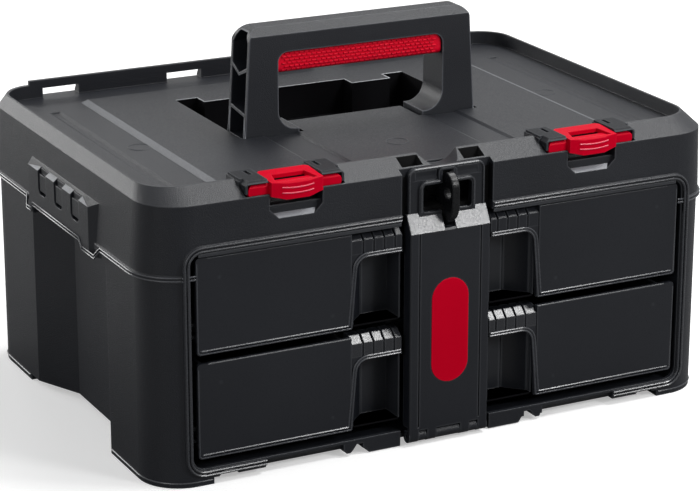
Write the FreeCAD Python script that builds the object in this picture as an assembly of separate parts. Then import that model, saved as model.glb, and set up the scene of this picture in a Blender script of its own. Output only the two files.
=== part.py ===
"""Portable tool box with two drawers, a front flap and a folding handle.

All sizes are in millimetres. X runs to the right seen from the front, the
front faces -Y, Z is up and the feet stand on Z = 0. "Behind" sizes are
measured from the flat front of the box towards its back.
"""
import math
import os

import FreeCAD
import Part

# Whole box
BODY_HALF = 237.0  # half width of the lower housing
BODY_DEPTH = 340.0  # flat front to back wall
CORNER_R = 33.0  # upright corner radius
WALL = 3.0  # general wall thickness
OVERRUN = 3.0  # how far cutters run past a face
UNDERSIDE_Z = 5.0  # underside of the housing between the feet
SEAM_Z = 158.0  # where the cover sits on the housing
LIP_OUT = 2.5  # the cover's lower lip outside the housing
LIP_BEAD = 1.0  # bead at the foot of the lip
LIP_BEAD_TALL = 4.6
LIP_BEAD_EDGE = 0.8
COVER_IN = 0.5  # the cover's shoulder inside the housing's sides
COVER_TALL = 55.5  # seam to the foot of the cover's bevel
RIM_TALL = 9.5  # height of the cover's bevel
REAR_RIM_TALL = 3.5  # the rear rim stands a little higher
EYE_REACH = 13.0  # padlock eye in front of the flat front

COVER_HALF = BODY_HALF - COVER_IN
LIP_HALF = BODY_HALF + LIP_OUT
SHOULDER_Z = SEAM_Z + COVER_TALL
RIM_Z = SHOULDER_Z + RIM_TALL
REAR_RIM_Z = RIM_Z + REAR_RIM_TALL
FRONT = (EYE_REACH - BODY_DEPTH - LIP_OUT - LIP_BEAD) / 2  # flat front plane

# Drawer opening
OPEN_MARGIN = 29.5  # opening's side to the housing's side
SILL_Z = 13.0
OPENING_R = 9.0
FRAME_BEAD_GAP = 1.4  # bead round the opening
FRAME_BEAD_WIDE = 4.6
FRAME_BEAD_OUT = 0.9
FRAME_BEAD_EDGE = 0.7
PANEL_GAP = 4.2  # drawer front to the opening's side
PANEL_LIFT = 7.7  # lower drawer front above the sill
PANEL_TALL = 73.3
PANEL_SPLIT = 6.7  # between the two drawer fronts
PANEL_HEAD = 3.0  # above the upper drawer front
PANEL_R = 7.0
PANEL_THICK = 3.5
PANEL_EDGE = 0.7
PANEL_FOOT = 3.0  # tall bevel at the panel's lower edge
PANEL_FOOT_IN = 1.6
OPEN_SIDE = BODY_HALF - OPEN_MARGIN
PANEL_HALF = OPEN_SIDE - PANEL_GAP
PANEL_Z0 = SILL_Z + PANEL_LIFT
PANEL_Z1 = PANEL_Z0 + PANEL_TALL
PITCH = PANEL_TALL + PANEL_SPLIT
FRAME_TOP_Z = PANEL_Z1 + PITCH + PANEL_HEAD

# Lid
RIM_SIDE = 6.5  # bevel's run at the sides and back
RIM_FRONT = 19.0  # bevel's run at the front
RIM_FLAT = 1.5  # flat top of the rim
RIM_INNER_R = 26.0
LID_DROP = 1.5  # lid floor under the foot of the bevel
PLATEAU_IN = 71.5  # raised middle of the lid floor, inside the cover's side
PLATEAU_RISE = 2.0
PLATEAU_FRONT = 24.0
PLATEAU_BACK_IN = 40.0
PLATEAU_SLOPE = 6.0
GROOVE_SLOPE = 3.0
SIDE_GROOVE_IN = 41.5  # groove along the lid's sides, inside the cover's side
SIDE_GROOVE_WIDE = 10.0
SIDE_GROOVE_DEEP = 1.0
SIDE_GROOVE_FRONT = 33.0
SIDE_GROOVE_BACK_IN = 58.0
FOOT_GROOVE_IN = 45.0  # grooves before the handle's feet, inside their outer faces
FOOT_GROOVE_WIDE = 30.0
FOOT_GROOVE_DEEP = 1.2
SLOT_LONG = 31.0  # rear rim slots
SLOT_NEAR = 52.0
SLOT_FAR = 161.0
SLOT_TALL = 7.5
LID_Z = SHOULDER_Z - LID_DROP
PLATEAU_HALF = COVER_HALF - PLATEAU_IN
PLATEAU_BACK = BODY_DEPTH - PLATEAU_BACK_IN
LID_TOP_Z = LID_Z + PLATEAU_RISE
SIDE_GROOVE_X1 = COVER_HALF - SIDE_GROOVE_IN + SIDE_GROOVE_WIDE
SIDE_GROOVE_X0 = COVER_HALF - SIDE_GROOVE_IN
SIDE_GROOVE_BACK = BODY_DEPTH - SIDE_GROOVE_BACK_IN

# Handle and its well in the lid
HANDLE_R = 16.0  # half thickness and foot radius
HANDLE_FOOT_HALF = 100.0
HANDLE_TOP_IN = 5.0  # the legs lean in towards the top
HANDLE_CORNER = 10.0
HANDLE_RISE = 95.0  # axis to the top of the bar
LEG_STRAIGHT = 10.0  # axis to where the legs start to lean
BAR_TALL = 20.0
LEG_WIDE = 28.5
OPEN_CORNER = 8.0
FOOT_RISE = 14.0  # axis to the top of the feet's inner toes
FOOT_TOE = 17.5  # toes inside the legs
FOOT_FILLET = 15.0
FOOT_STEPS = 12  # flats of the feet's round underside
BAR_FRONT_RUN = 7.0  # bevels of the bar
BAR_FRONT_DROP = 6.0
BAR_BACK_RUN = 11.0
BAR_BACK_DROP = 12.0
CAVITY_DEEP = 18.0  # hollows in the legs' sides
CAVITY_WALL = 3.0
CAVITY_WEB = 2.5
CAVITY_LOW = 9.0  # above the axis
CAVITY_WEB_RISE = 29.0
CAVITY_HEX_RISE = 59.0
CAVITY_HEX_V = 6.0
CAVITY_HEX_WALL = 19.0
CAVITY_HEX_TOP = 7.5
CAVITY_INSET = 9.0
GRIP_TALL = 17.0
GRIP_IN = 2.0
GRIP_R = 5.0
GRIP_END_GAP = 0.5
TONGUE_IN = 11.5  # the grip's tongue sits in the bar
TONGUE_THICK = 5.0
TONGUE_TALL = 5.0
PIN_R = 4.0
PIN_RUN = 0.05  # running clearance on the radius
PIN_TOE = 7.5  # pin past the toe, into the lid's block
PIN_INSIDE = 18.0
PIVOT_AHEAD = 15.0  # the handle's axis before the middle of the box
PIVOT_DROP = 10.5  # axis under the foot of the cover's bevel
WELL_GAP = 3.0  # round the handle
TOE_GAP = 3.5  # inside the feet's toes
WELL_UNDER = 1.0
WELL_FRONT_GAP = 15.0
WELL_LONG = 96.0
POCKET_PLAY = 1.0
TAB_IN = 49.0  # steps in the well's back wall
TAB_OUT = 84.0
TAB_LONG = 14.5
BLOCK_WALL = 4.0
BLOCK_SIDE = 6.5
PIVOT_BACK = BODY_DEPTH / 2 - PIVOT_AHEAD
PIVOT_Z = SHOULDER_Z - PIVOT_DROP
HANDLE_TOP_HALF = HANDLE_FOOT_HALF - HANDLE_TOP_IN
HANDLE_TOP_Z = PIVOT_Z + HANDLE_RISE
LEG_LEAN_Z = PIVOT_Z + LEG_STRAIGHT
OPEN_TOP_Z = HANDLE_TOP_Z - BAR_TALL
OPEN_HALF = HANDLE_FOOT_HALF - LEG_WIDE
FOOT_TOP_Z = PIVOT_Z + FOOT_RISE
FOOT_IN = OPEN_HALF - FOOT_TOE
GRIP_Z0 = OPEN_TOP_Z - GRIP_TALL
TONGUE_HALF = OPEN_HALF - TONGUE_IN
PIN_IN = FOOT_IN - PIN_TOE
PIN_OUT = FOOT_IN + PIN_INSIDE
WELL_HALF = HANDLE_FOOT_HALF + WELL_GAP
WELL_FLOOR_Z = PIVOT_Z - HANDLE_R - WELL_UNDER
WELL_FRONT = PIVOT_BACK + WELL_FRONT_GAP
WELL_BACK = WELL_FRONT + WELL_LONG
FOOT_POCKET_FRONT = PIVOT_BACK - HANDLE_R - POCKET_PLAY
FOOT_POCKET_IN = FOOT_IN - TOE_GAP
BLOCK_CORE = FOOT_POCKET_IN - BLOCK_SIDE
FOOT_GROOVE_X0 = HANDLE_FOOT_HALF - FOOT_GROOVE_IN
FOOT_GROOVE_X1 = FOOT_GROOVE_X0 + FOOT_GROOVE_WIDE

# Finger pockets and lips of the drawer fronts
POCKET_HALF = 79.0
POCKET_LEAN = 4.0  # the pocket narrows towards its top
POCKET_TALL = 54.3
POCKET_R = 9.0
POCKET_BEAD = 2.0  # bead along the pocket's edge
LIP_HALF_SPAN = 79.5  # the lips' faces stand back from the panel's
LIP_STEP = 0.8
LIP_IN = 37.5
LIP_DROP = 6.0  # the sloping top of the pulling lips
LIP_DEEP = 14.0
LIP_UNDER = 3.0
LIP_GROOVES = 4
LIP_GROOVE_IN = 6.0  # lip's inner end to the first groove
LIP_GROOVE_W = 2.2
LIP_GROOVE_D = 0.7
LIP_GROOVE_STEP = 8.7
BRIDGE_BACK = 28.0  # joins the two lips well behind the flap
BRIDGE_WALL = 2.5
BRIDGE_DROP = 3.5  # passes under the padlock eye's chin
POCKET_TOP_HALF = POCKET_HALF - POCKET_LEAN
POCKET_TOP_Z = PANEL_Z0 + POCKET_TALL
LIP_TOP_Z = PANEL_Z1 - LIP_DROP

# Drawer trays, runners and rails
RAIL_ROOM = 10.5  # tray's side to the opening's side
RAIL_PLAY = 0.3
RAIL_GAP = 2.9
RAIL_WEB = 2.5
RAIL_FLANGE = 2.5
RAIL_FRONT = 6.0
RAIL_BACK_IN = 14.0
RAIL_LIFT = 11.3  # rail above the drawer front's lower edge
RAIL_CHANNEL = 12.0
RAIL_TALL = 21.0
RUNNER_GAP = 0.7
RUNNER_THICK = 3.8
RUNNER_FRONT = 12.0
RUNNER_HIGH_LONG = 28.0
STOP_LONG = 30.0
STOP_GAP = 0.5
TRAVEL = 160.0
TRAY_BACK_IN = 8.0  # tray's back before the rail's end
TRAY_LIFT = 3.3
TRAY_TALL = 66.0
TRAY_WALL = 2.5
TRAY_R = 6.0
HOLLOW_BACK = 48.0  # the finger pocket's back wall
HOLLOW_SLOPE_TALL = 29.5
HOLLOW_SLOPE_RUN = 53.0
HOLLOW_SIDE = 2.5
TRAY_HALF = OPEN_SIDE - RAIL_ROOM
RAIL_IN = TRAY_HALF + RAIL_GAP
RAIL_BACK = BODY_DEPTH - RAIL_BACK_IN
RAIL_Z0 = PANEL_Z0 + RAIL_LIFT
RAIL_CHANNEL_Z1 = RAIL_Z0 + RAIL_CHANNEL
RAIL_TOP_Z = RAIL_Z0 + RAIL_TALL
RUNNER_OUT = OPEN_SIDE - RAIL_WEB - RUNNER_GAP
RUNNER_Z0 = RAIL_Z0 + RAIL_FLANGE + RAIL_PLAY
RUNNER_Z1 = RUNNER_Z0 + RUNNER_THICK
RUNNER_HIGH_Z1 = RAIL_CHANNEL_Z1 - RAIL_FLANGE - RAIL_PLAY
STOP_Z0 = RUNNER_Z1 + RAIL_PLAY
TRAY_BACK = RAIL_BACK - TRAY_BACK_IN
RUNNER_HIGH = TRAY_BACK - RUNNER_HIGH_LONG
TRAY_Z0 = PANEL_Z0 + TRAY_LIFT
TRAY_Z1 = TRAY_Z0 + TRAY_TALL
HOLLOW_HALF = POCKET_HALF + HOLLOW_SIDE
HOLLOW_SLOPE_Z = TRAY_Z0 + HOLLOW_SLOPE_TALL
HOLLOW_SLOPE_BACK = HOLLOW_BACK + HOLLOW_SLOPE_RUN

# Ribs of the housing that carry the rails
RIB_THICK = 6.0
RIB_FRONT = 24.0
RIB_MIDDLE = 150.0
RIB_BACK_IN = 42.0
RIB_BACKS = (RIB_FRONT, RIB_MIDDLE, BODY_DEPTH - RIB_BACK_IN)

# Side recess of the housing and ribbed pad of the cover
RECESS_DEEP = 18.5
RECESS_FRONT = 87.0
RECESS_FRONT_RUN = 9.0
RECESS_BACK_IN = 100.0  # the recess ends before the back wall
RECESS_BACK_RUN = 41.0
PAD_OVER = 6.0  # pad outside the housing's side
PAD_START = 8.0  # pad behind the recess's front edge
PAD_END = 5.0
PAD_NOSE = 10.0  # rounded front end
PAD_TAIL = 5.0
PAD_UNDER = 1.5  # pad below the seam
PAD_TAB = 5.5  # tabs below the pad at its ends
PAD_TAB_FRONT = 26.0
PAD_TAB_BACK = 12.0
PAD_FACE = 31.0  # seam to the top of the pad's flat face
PAD_SLOPE = 7.5
PAD_SLOT_W = 17.0
PAD_SLOT_FOOT = 13.0  # slot's foot above the seam
PAD_SLOT_R = 5.0
PAD_SLOT_DEEP = 3.6
PAD_SLOT_FIRST = 37.0  # pad's front end to the first slot's middle
PAD_SLOT_STEP = 34.2
PAD_SLOT_COUNT = 3
RECESS_BACK = BODY_DEPTH - RECESS_BACK_IN
PAD_OUT = BODY_HALF + PAD_OVER
PAD_FRONT = RECESS_FRONT + PAD_START
PAD_BACK = RECESS_BACK - PAD_END
PAD_Z0 = SEAM_Z - PAD_UNDER
PAD_Z1 = SEAM_Z + PAD_FACE
PAD_TOP_Z = PAD_Z1 + PAD_SLOPE

# Feet, underside and front skirt
FOOT_WIDE = 45.5
FOOT_BACK_LONG = 83.0
FOOT_NOTCH_TOP = 53.0  # notch beside a corner foot, from the side
FOOT_NOTCH_END = 62.0
FOOT_NOTCH_Z = 9.0
FOOT_NOTCH_LOW_Z = 5.0
SMALL_FOOT_Z = 0.8
SMALL_FOOT_DEEP = 24.0
SMALL_FOOT_OUT = 64.8
SMALL_FOOT_SLOPE = 5.0
TOOTH_IN = 75.0
TOOTH_OUT = 86.0
TOOTH_Z = 2.8
TOOTH_SLOPE = 5.0
SKIRT_RUN = 6.0  # the front wall slopes in below the sill
SKIRT_TALL = 6.0
SKIRT_HALF = 150.0
SILL_BEAM = 16.0
SILL_BEAM_DROP = 1.5
FOOT_X = BODY_HALF - FOOT_WIDE
FOOT_FRONT = RECESS_FRONT
FOOT_BACK = BODY_DEPTH - FOOT_BACK_LONG

# Flap, its hinge and channel
CHANNEL_HALF = 38.3
CHANNEL_DEEP = 5.8
CHANNEL_INNER_HALF = 30.0
CHANNEL_BACK = 20.0
CHANNEL_HEAD = 3.5  # channel's inner roof under the lid floor
SHELF_RISE = 7.0  # shelf above the drawer opening
CUTOUT_IN = 17.5  # pockets in the bevel above the flap
CUTOUT_OUT = 34.5
CUTOUT_FRONT = 7.2
CUTOUT_BACK = 17.0
TROUGH_R = 19.0  # trough between them
TROUGH_RISE = 1.2  # its bottom above the lid floor
FLAP_TOP_HALF = 32.0
FLAP_HALF = 33.5
FLAP_HEAD = 7.0  # flap's top under the rim
FLAP_TOP_R = 6.0
FLAP_OUT = 5.5
FLAP_UPPER = 2.0
FLAP_BACK = 5.0
FLAP_EDGE = 0.8
FLAP_PULL_TALL = 7.0
FLAP_PULL_DEEP = 1.6
FLAP_PULL_HEAD = 2.5
LEDGE_RISE = 5.0  # ledge's top above the drawer opening
LEDGE_TALL = 14.0
SKIRT = 2.5
SKIRT_Z0 = 15.0
STRIP_X = 25.3
GROOVE_W = 1.1
GROOVE_D = 1.0
WINDOW_HALF = 20.5
WINDOW_TALL = 21.0
WINDOW_R = 3.0
WINDOW_RIB = 3.0
WINDOW_RIB_OUT = 1.8
EYE_SLOT_HALF = 4.6
EYE_SLOT_UNDER = 12.2  # slot below and above the ledge's top
EYE_SLOT_OVER = 31.0
HINGE_BACK = -0.5
HINGE_Z = 7.5
HINGE_R = 5.0
HINGE_PIN_R = 2.0
HINGE_PIN_IN = 0.5
KNUCKLE_MID = 10.0
KNUCKLE_IN = 18.5
KNUCKLE_OUT = 25.0
KNUCKLE_GAP = 0.35
KNUCKLE_R = 4.7
KNUCKLE_WEB = 2.5
SILL_SET_BACK = 5.6
PILL_HALF = 15.5
PILL_FOOT = 41.0  # above the hinge
PILL_TALL = 82.0
PILL_DEEP = 1.2
PILL_THICK = 1.6
CHANNEL_TOP_Z = LID_Z - CHANNEL_HEAD
SHELF_Z = FRAME_TOP_Z + SHELF_RISE
FLAP_TOP_Z = RIM_Z - FLAP_HEAD
LEDGE_TOP_Z = FRAME_TOP_Z + LEDGE_RISE
LEDGE_Z = LEDGE_TOP_Z - LEDGE_TALL
WINDOW_Z1 = LEDGE_TOP_Z + WINDOW_TALL
EYE_SLOT_Z0 = LEDGE_TOP_Z - EYE_SLOT_UNDER
EYE_SLOT_Z1 = LEDGE_TOP_Z + EYE_SLOT_OVER
HINGE_PIN_HALF = FLAP_HALF - HINGE_PIN_IN
PILL_Z0 = HINGE_Z + PILL_FOOT
PILL_Z1 = PILL_Z0 + PILL_TALL

# Padlock eye
EYE_HALF = 3.2
EYE_HOLE_BACK = -5.0
EYE_HOLE_R = 4.5
EYE_HOLE_RISE = 14.0  # heights above the flap's ledge
EYE_TOP_RISE = 30.0
EYE_NOSE_RISE = 27.0
EYE_NOSE_LOW = 2.0
EYE_CHIN_DROP = 9.0
EYE_BASE_RISE = 25.0
EYE_NECK_RISE = 26.0
EYE_TOP_BACK = -7.0
EYE_CHIN_BACK = -8.0
EYE_CHIN_IN = -3.0
EYE_HEEL_BACK = 3.0
EYE_HEEL_GAP = 0.5  # above the shelf
EYE_BASE_HALF = 12.0
EYE_BASE_THICK = 3.0
EYE_HOLE_Z = LEDGE_TOP_Z + EYE_HOLE_RISE
EYE_TOP_Z = LEDGE_TOP_Z + EYE_TOP_RISE
EYE_NOSE_Z = LEDGE_TOP_Z + EYE_NOSE_RISE
EYE_LOW_Z = LEDGE_TOP_Z - EYE_NOSE_LOW
EYE_CHIN_Z = LEDGE_TOP_Z - EYE_CHIN_DROP
EYE_HEEL_Z = SHELF_Z + EYE_HEEL_GAP
EYE_BASE_Z1 = LEDGE_TOP_Z + EYE_BASE_RISE
EYE_NECK_Z = LEDGE_TOP_Z + EYE_NECK_RISE

# Latches, their seats and caps
LATCH_X = 124.0
LATCH_ARM = 37.0
LATCH_BODY = 20.5
LATCH_BACK = 6.0
LATCH_DROP = 6.5  # axis under the rim
LATCH_ARM_R = 5.2
LATCH_ARM_HALF = 4.8  # half height of the arms
LATCH_ARM_FRONT = 4.4  # axis to their flat front
LATCH_ARM_END = 4.3
LATCH_PLAY = 0.5
LATCH_FRONT = 9.6  # axis to the middle of the face
LATCH_BOW = 1.6  # the face's ends stand back
LATCH_FLAT = 9.0  # half length of its straight middle
LATCH_HEAD = 6.0  # axis to the face's upper edge
LATCH_EDGE = 1.4
LATCH_FOOT = 7.3  # axis to the face's lower edge
LATCH_FOOT_BOW = 3.0
LATCH_TOE = 2.0
LATCH_CORE = 5.5
LATCH_KNEE = 2.5
LATCH_SHOULDER = 3.4
LATCH_TAIL = 19.0  # axis to the plate's back edge
LATCH_TAIL_RISE = 7.6
LATCH_TAIL_CUT = 2.5
LATCH_PLATE = 2.4
SCOOP_HALF = 16.5  # finger scoop in the plate
SCOOP_LEAN = 3.5
SCOOP_NEAR = 7.2
SCOOP_FAR = 8.5
SCOOP_FLOOR = 2.9
LATCH_PIN_R = 2.0
SEAT_TALL = 21.5  # finger scoop under the latch
SEAT_DEEP = 4.0
SEAT_SLOPE = 3.0
SEAT_CUT = 7.0
BOSS_SIDE = 3.0
BOSS_BACK = 22.0
BOSS_UNDER = 5.0
LAND_LONG = 21.5
CAP_TALL = 1.5
CAP_WALL = 1.6
CAP_GAP = 0.4
CAP_REACH = 4.5  # hood before the axis
CAP_SKIRT = 1.0  # the hood's outer cheek ends below the axis
CAP_BEND = 3.0
CAP_FILLET = 0.8
CAP_EDGE = 2.0
CAP_LONG = 20.5
CAP_SLOT_W = 3.0
CAP_SLOT_LONG = 11.0
CAP_SLOT_IN = 4.5  # slot to the plate's inner edge
CAP_SLOT_END = 2.5
LATCH_Z = RIM_Z - LATCH_DROP
LATCH_SWEEP = math.hypot(LATCH_FRONT, LATCH_FOOT) + LATCH_PLAY
SEAT_Z0 = LATCH_Z - SEAT_TALL
BOSS_Z0 = SEAT_Z0 - BOSS_UNDER
BOSS_X0 = LATCH_X - LATCH_ARM - BOSS_SIDE
BOSS_X1 = LATCH_X + LATCH_ARM + BOSS_SIDE
LAND_FRONT = LATCH_BACK + LATCH_ARM_R + LATCH_PLAY
LAND_BACK = LAND_FRONT + LAND_LONG
CAP_IN = LATCH_BODY + LATCH_PLAY + CAP_GAP
CAP_CHEEK = LATCH_ARM + LATCH_PLAY
CAP_OUT = CAP_CHEEK + CAP_WALL
CAP_TOP_Z = RIM_Z + CAP_TALL

# Screws
SCREW_SIDES = 8
SCREW_R = 2.0
SCREW_HEAD_R = 4.0
SCREW_HEAD = 2.5
SCREW_LONG = 34.0
SMALL_SCREW_R = 1.5
SMALL_HEAD_R = 3.0
SMALL_HEAD = 1.6
SMALL_SCREW_BITE = 6.0
BOSS_R = 6.0
BOSS_TALL = 22.0
COVER_SCREW_SIDE = 15.5  # from the housing's side, front and back
COVER_SCREW_FRONT = 15.0
COVER_SCREW_BACK_IN = 18.0
RAIL_SCREW_RISE = 4.5  # above the rail's channel
FRONT_SCREW_IN = 1.2
FRONT_SCREW_NEAR = 13.5  # outside the finger hollow
FRONT_SCREW_FAR = 12.0  # inside the tray's side
FRONT_SCREW_LOW = 10.0
FRONT_SCREW_HIGH = 12.0
COVER_SCREW_X = BODY_HALF - COVER_SCREW_SIDE
COVER_SCREW_BACKS = (COVER_SCREW_FRONT, BODY_DEPTH - COVER_SCREW_BACK_IN)
COVER_SCREW_Z = SEAM_Z - BOSS_TALL
RAIL_SCREW_Z = RAIL_CHANNEL_Z1 + RAIL_SCREW_RISE
FRONT_SCREW_X = (HOLLOW_HALF + FRONT_SCREW_NEAR, TRAY_HALF - FRONT_SCREW_FAR)
FRONT_SCREW_Z = (TRAY_Z0 + FRONT_SCREW_LOW, TRAY_Z1 - FRONT_SCREW_HIGH)

TOUCH = 0.016  # how far an edge may lean and still count as straight

X = FreeCAD.Vector(1, 0, 0)
Y = FreeCAD.Vector(0, 1, 0)
Z = FreeCAD.Vector(0, 0, 1)


def at(x, back, z):
    """The point that lies so far behind the flat front."""
    return FreeCAD.Vector(x, FRONT + back, z)


def box(x0, x1, b0, b1, z0, z1):
    return Part.makeBox(x1 - x0, b1 - b0, z1 - z0, at(x0, b0, z0))


def both(x0, x1, b0, b1, z0, z1):
    """A block and its mirror image about X = 0."""
    return box(x0, x1, b0, b1, z0, z1).fuse(box(-x1, -x0, b0, b1, z0, z1))


def rod(x0, x1, back, z, r):
    return Part.makeCylinder(r, x1 - x0, at(x0, back, z), X)


def screw_rod(start, along, length, r):
    """A screw's shank, head or hole; eight flats stand in for its thread."""
    u = FreeCAD.Vector(along.z, along.x, along.y)
    v = FreeCAD.Vector(along.y, along.z, along.x)
    turns = [2 * math.pi * k / SCREW_SIDES for k in range(SCREW_SIDES + 1)]
    wire = Part.makePolygon([start + u * (r * math.cos(t)) + v * (r * math.sin(t)) for t in turns])
    return Part.Face(wire).extrude(along * length)


def side_shape(points, x0, x1):
    """Extrudes a side view, given as (behind, z) points, from x0 to x1."""
    wire = Part.makePolygon([at(x0, b, z) for b, z in points + points[:1]])
    return Part.Face(wire).extrude(X * (x1 - x0))


def front_shape(points, b0, b1):
    """Extrudes a front view, given as (x, z) points, between two depths."""
    wire = Part.makePolygon([at(x, b0, z) for x, z in points + points[:1]])
    return Part.Face(wire).extrude(Y * (b1 - b0))


def plan_shape(points, z0, z1):
    """Extrudes a plan, given as (x, behind) points, between two heights."""
    wire = Part.makePolygon([at(x, b, z0) for x, b in points + points[:1]])
    return Part.Face(wire).extrude(Z * (z1 - z0))


def edges_along(shape, axis):
    found = []
    for edge in shape.Edges:
        ends = [v.Point for v in edge.Vertexes]
        if len(ends) == 2 and (ends[1] - ends[0]).cross(axis).Length < TOUCH:
            found.append(edge)
    return found


def edges_at_depth(shape, back):
    """The edges that lie in the upright plane so far behind the front."""
    y = FRONT + back
    return [e for e in shape.Edges if abs(e.BoundBox.YMin - y) < TOUCH and abs(e.BoundBox.YMax - y) < TOUCH]


def edges_at_height(shape, z):
    return [e for e in shape.Edges if abs(e.BoundBox.ZMin - z) < TOUCH and abs(e.BoundBox.ZMax - z) < TOUCH]


def rounded_plan(half, b0, b1, z0, z1, r):
    solid = box(-half, half, b0, b1, z0, z1)
    return solid.makeFillet(r, edges_along(solid, Z))


def rounded_front(x0, x1, z0, z1, b0, b1, r):
    solid = box(x0, x1, b0, b1, z0, z1)
    return solid.makeFillet(r, edges_along(solid, Y))


def plan_wire(half, b0, b1, z, r):
    """A rounded rectangle in plan, for lofts."""
    solid = rounded_plan(half, b0, b1, z, z + WALL, r)
    lowest = min(solid.Faces, key=lambda f: f.CenterOfMass.z)
    return lowest.OuterWire


def mirrored(shape):
    return shape.mirror(FreeCAD.Vector(), X)


def pair(shape):
    return shape.fuse(mirrored(shape))


def one(shape):
    """The single solid of a shape, with merged faces."""
    clean = shape.removeSplitter()
    if len(clean.Solids) != 1:
        raise ValueError(f"{len(clean.Solids)} solids where one is meant")
    return clean.Solids[0]


def all_of(shapes):
    """One compound of separate, equal pieces."""
    return Part.makeCompound([one(s) for s in shapes])


def side_recess(grow, z0, z1):
    """The hand recess in the housing's left and right side."""
    out = BODY_HALF + OVERRUN
    deep = BODY_HALF - RECESS_DEEP - grow
    front, back = RECESS_FRONT - grow, RECESS_BACK + grow
    points = [(out, front), (BODY_HALF - grow, front), (deep, front + RECESS_FRONT_RUN)]
    points += [(deep, back - RECESS_BACK_RUN), (BODY_HALF - grow, back), (out, back)]
    return pair(plan_shape(points, z0, z1))


def frame_bead():
    """The bead round the drawer opening; each moulding keeps its share."""
    out = FRAME_BEAD_GAP + FRAME_BEAD_WIDE
    slab = rounded_front(
        -OPEN_SIDE - out, OPEN_SIDE + out, SILL_Z - out, FRAME_TOP_Z + out, -FRAME_BEAD_OUT, WALL, OPENING_R + out
    )
    slab = slab.makeChamfer(FRAME_BEAD_EDGE, edges_at_depth(slab, -FRAME_BEAD_OUT))
    gap = FRAME_BEAD_GAP
    inner = rounded_front(
        -OPEN_SIDE - gap, OPEN_SIDE + gap, SILL_Z - gap, FRAME_TOP_Z + gap, -OVERRUN, WALL, OPENING_R + gap
    )
    ring = slab.cut(inner)
    ring = ring.cut(box(-CHANNEL_HALF, CHANNEL_HALF, -OVERRUN, WALL, 0, RIM_Z))
    return ring.cut(box(-SKIRT_HALF, SKIRT_HALF, -OVERRUN, WALL, 0, SILL_Z + gap))


def lower_housing():
    body = rounded_plan(BODY_HALF, 0, BODY_DEPTH, UNDERSIDE_Z, SEAM_Z, CORNER_R)
    feet = rounded_plan(BODY_HALF, 0, BODY_DEPTH, 0, UNDERSIDE_Z, CORNER_R)
    feet = feet.cut(box(-FOOT_X, FOOT_X, -OVERRUN, BODY_DEPTH + OVERRUN, 0, UNDERSIDE_Z))
    across = BODY_HALF + OVERRUN
    feet = feet.cut(box(-across, across, FOOT_FRONT, FOOT_BACK, 0, UNDERSIDE_Z))
    body = body.fuse(feet).fuse(small_feet())
    room = rounded_plan(
        BODY_HALF - WALL, WALL, BODY_DEPTH - WALL, UNDERSIDE_Z + WALL, SEAM_Z, CORNER_R - WALL
    )
    room = room.cut(side_recess(WALL, 0, SEAM_Z))
    for rib in RIB_BACKS:
        room = room.cut(both(OPEN_SIDE, BODY_HALF, rib, rib + RIB_THICK, 0, SEAM_Z))
    room = room.cut(both(OPEN_SIDE, OPEN_SIDE + WALL, 0, RIB_FRONT, 0, SEAM_Z))
    room = room.cut(corner_bosses(SEAM_Z - BOSS_TALL, SEAM_Z))
    body = body.cut(room).cut(side_recess(0, 0, SEAM_Z + OVERRUN))
    body = body.fuse(frame_bead().common(box(-across, across, -OVERRUN, WALL, 0, SEAM_Z)))
    opening = rounded_front(-OPEN_SIDE, OPEN_SIDE, SILL_Z, FRAME_TOP_Z, -OVERRUN, RIB_FRONT, OPENING_R)
    body = body.cut(opening)
    beam = both(CHANNEL_HALF, OPEN_SIDE, WALL, SILL_BEAM, UNDERSIDE_Z, SILL_Z - SILL_BEAM_DROP)
    body = body.fuse(beam)
    body = body.fuse(both(CHANNEL_HALF, OPEN_SIDE, SILL_BEAM, RIB_FRONT, UNDERSIDE_Z, UNDERSIDE_Z + WALL))
    body = body.cut(pair(underside_cuts()))
    body = flap_hinge_ears(body)
    for back in COVER_SCREW_BACKS:
        for side in (-1, 1):
            body = body.cut(screw_rod(at(side * COVER_SCREW_X, back, 0), Z, SEAM_Z, SCREW_R))
    return one(cut_rail_screws(body))


def small_feet():
    """Low feet under the front edge, and the small teeth beside them."""
    top = UNDERSIDE_Z + WALL
    slope = SMALL_FOOT_SLOPE
    points = [(CHANNEL_HALF, top), (CHANNEL_HALF, SMALL_FOOT_Z), (SMALL_FOOT_OUT, SMALL_FOOT_Z)]
    points += [(SMALL_FOOT_OUT + slope, top)]
    foot = front_shape(points, 0, SMALL_FOOT_DEEP)
    slope = TOOTH_SLOPE
    points = [(TOOTH_IN, top), (TOOTH_IN + slope, TOOTH_Z), (TOOTH_OUT - slope / 2, TOOTH_Z), (TOOTH_OUT, top)]
    return pair(foot.fuse(front_shape(points, 0, SMALL_FOOT_DEEP)))


def underside_cuts():
    """Notches in the front edge and the sloping skirt, on the right side."""
    top = BODY_HALF - FOOT_NOTCH_TOP
    end = BODY_HALF - FOOT_NOTCH_END
    points = [(FOOT_X, -OVERRUN), (FOOT_X, 0), (top, FOOT_NOTCH_Z), (end, FOOT_NOTCH_Z)]
    points += [(end - OVERRUN, FOOT_NOTCH_LOW_Z), (end - OVERRUN, -OVERRUN)]
    cut = front_shape(points, -OVERRUN, SILL_BEAM - WALL)
    near = SMALL_FOOT_OUT + SMALL_FOOT_SLOPE
    points = [(near, 0), (near, FOOT_NOTCH_Z), (TOOTH_IN, FOOT_NOTCH_Z), (TOOTH_IN + OVERRUN, UNDERSIDE_Z)]
    points += [(TOOTH_IN + OVERRUN, 0)]
    cut = cut.fuse(front_shape(points, -OVERRUN, SILL_BEAM - WALL))
    top = UNDERSIDE_Z + SKIRT_TALL
    skirt = [(-OVERRUN, top), (0, top), (SKIRT_RUN, UNDERSIDE_Z), (SKIRT_RUN, 0), (-OVERRUN, 0)]
    return cut.fuse(side_shape(skirt, TOOTH_OUT, SKIRT_HALF))


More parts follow.
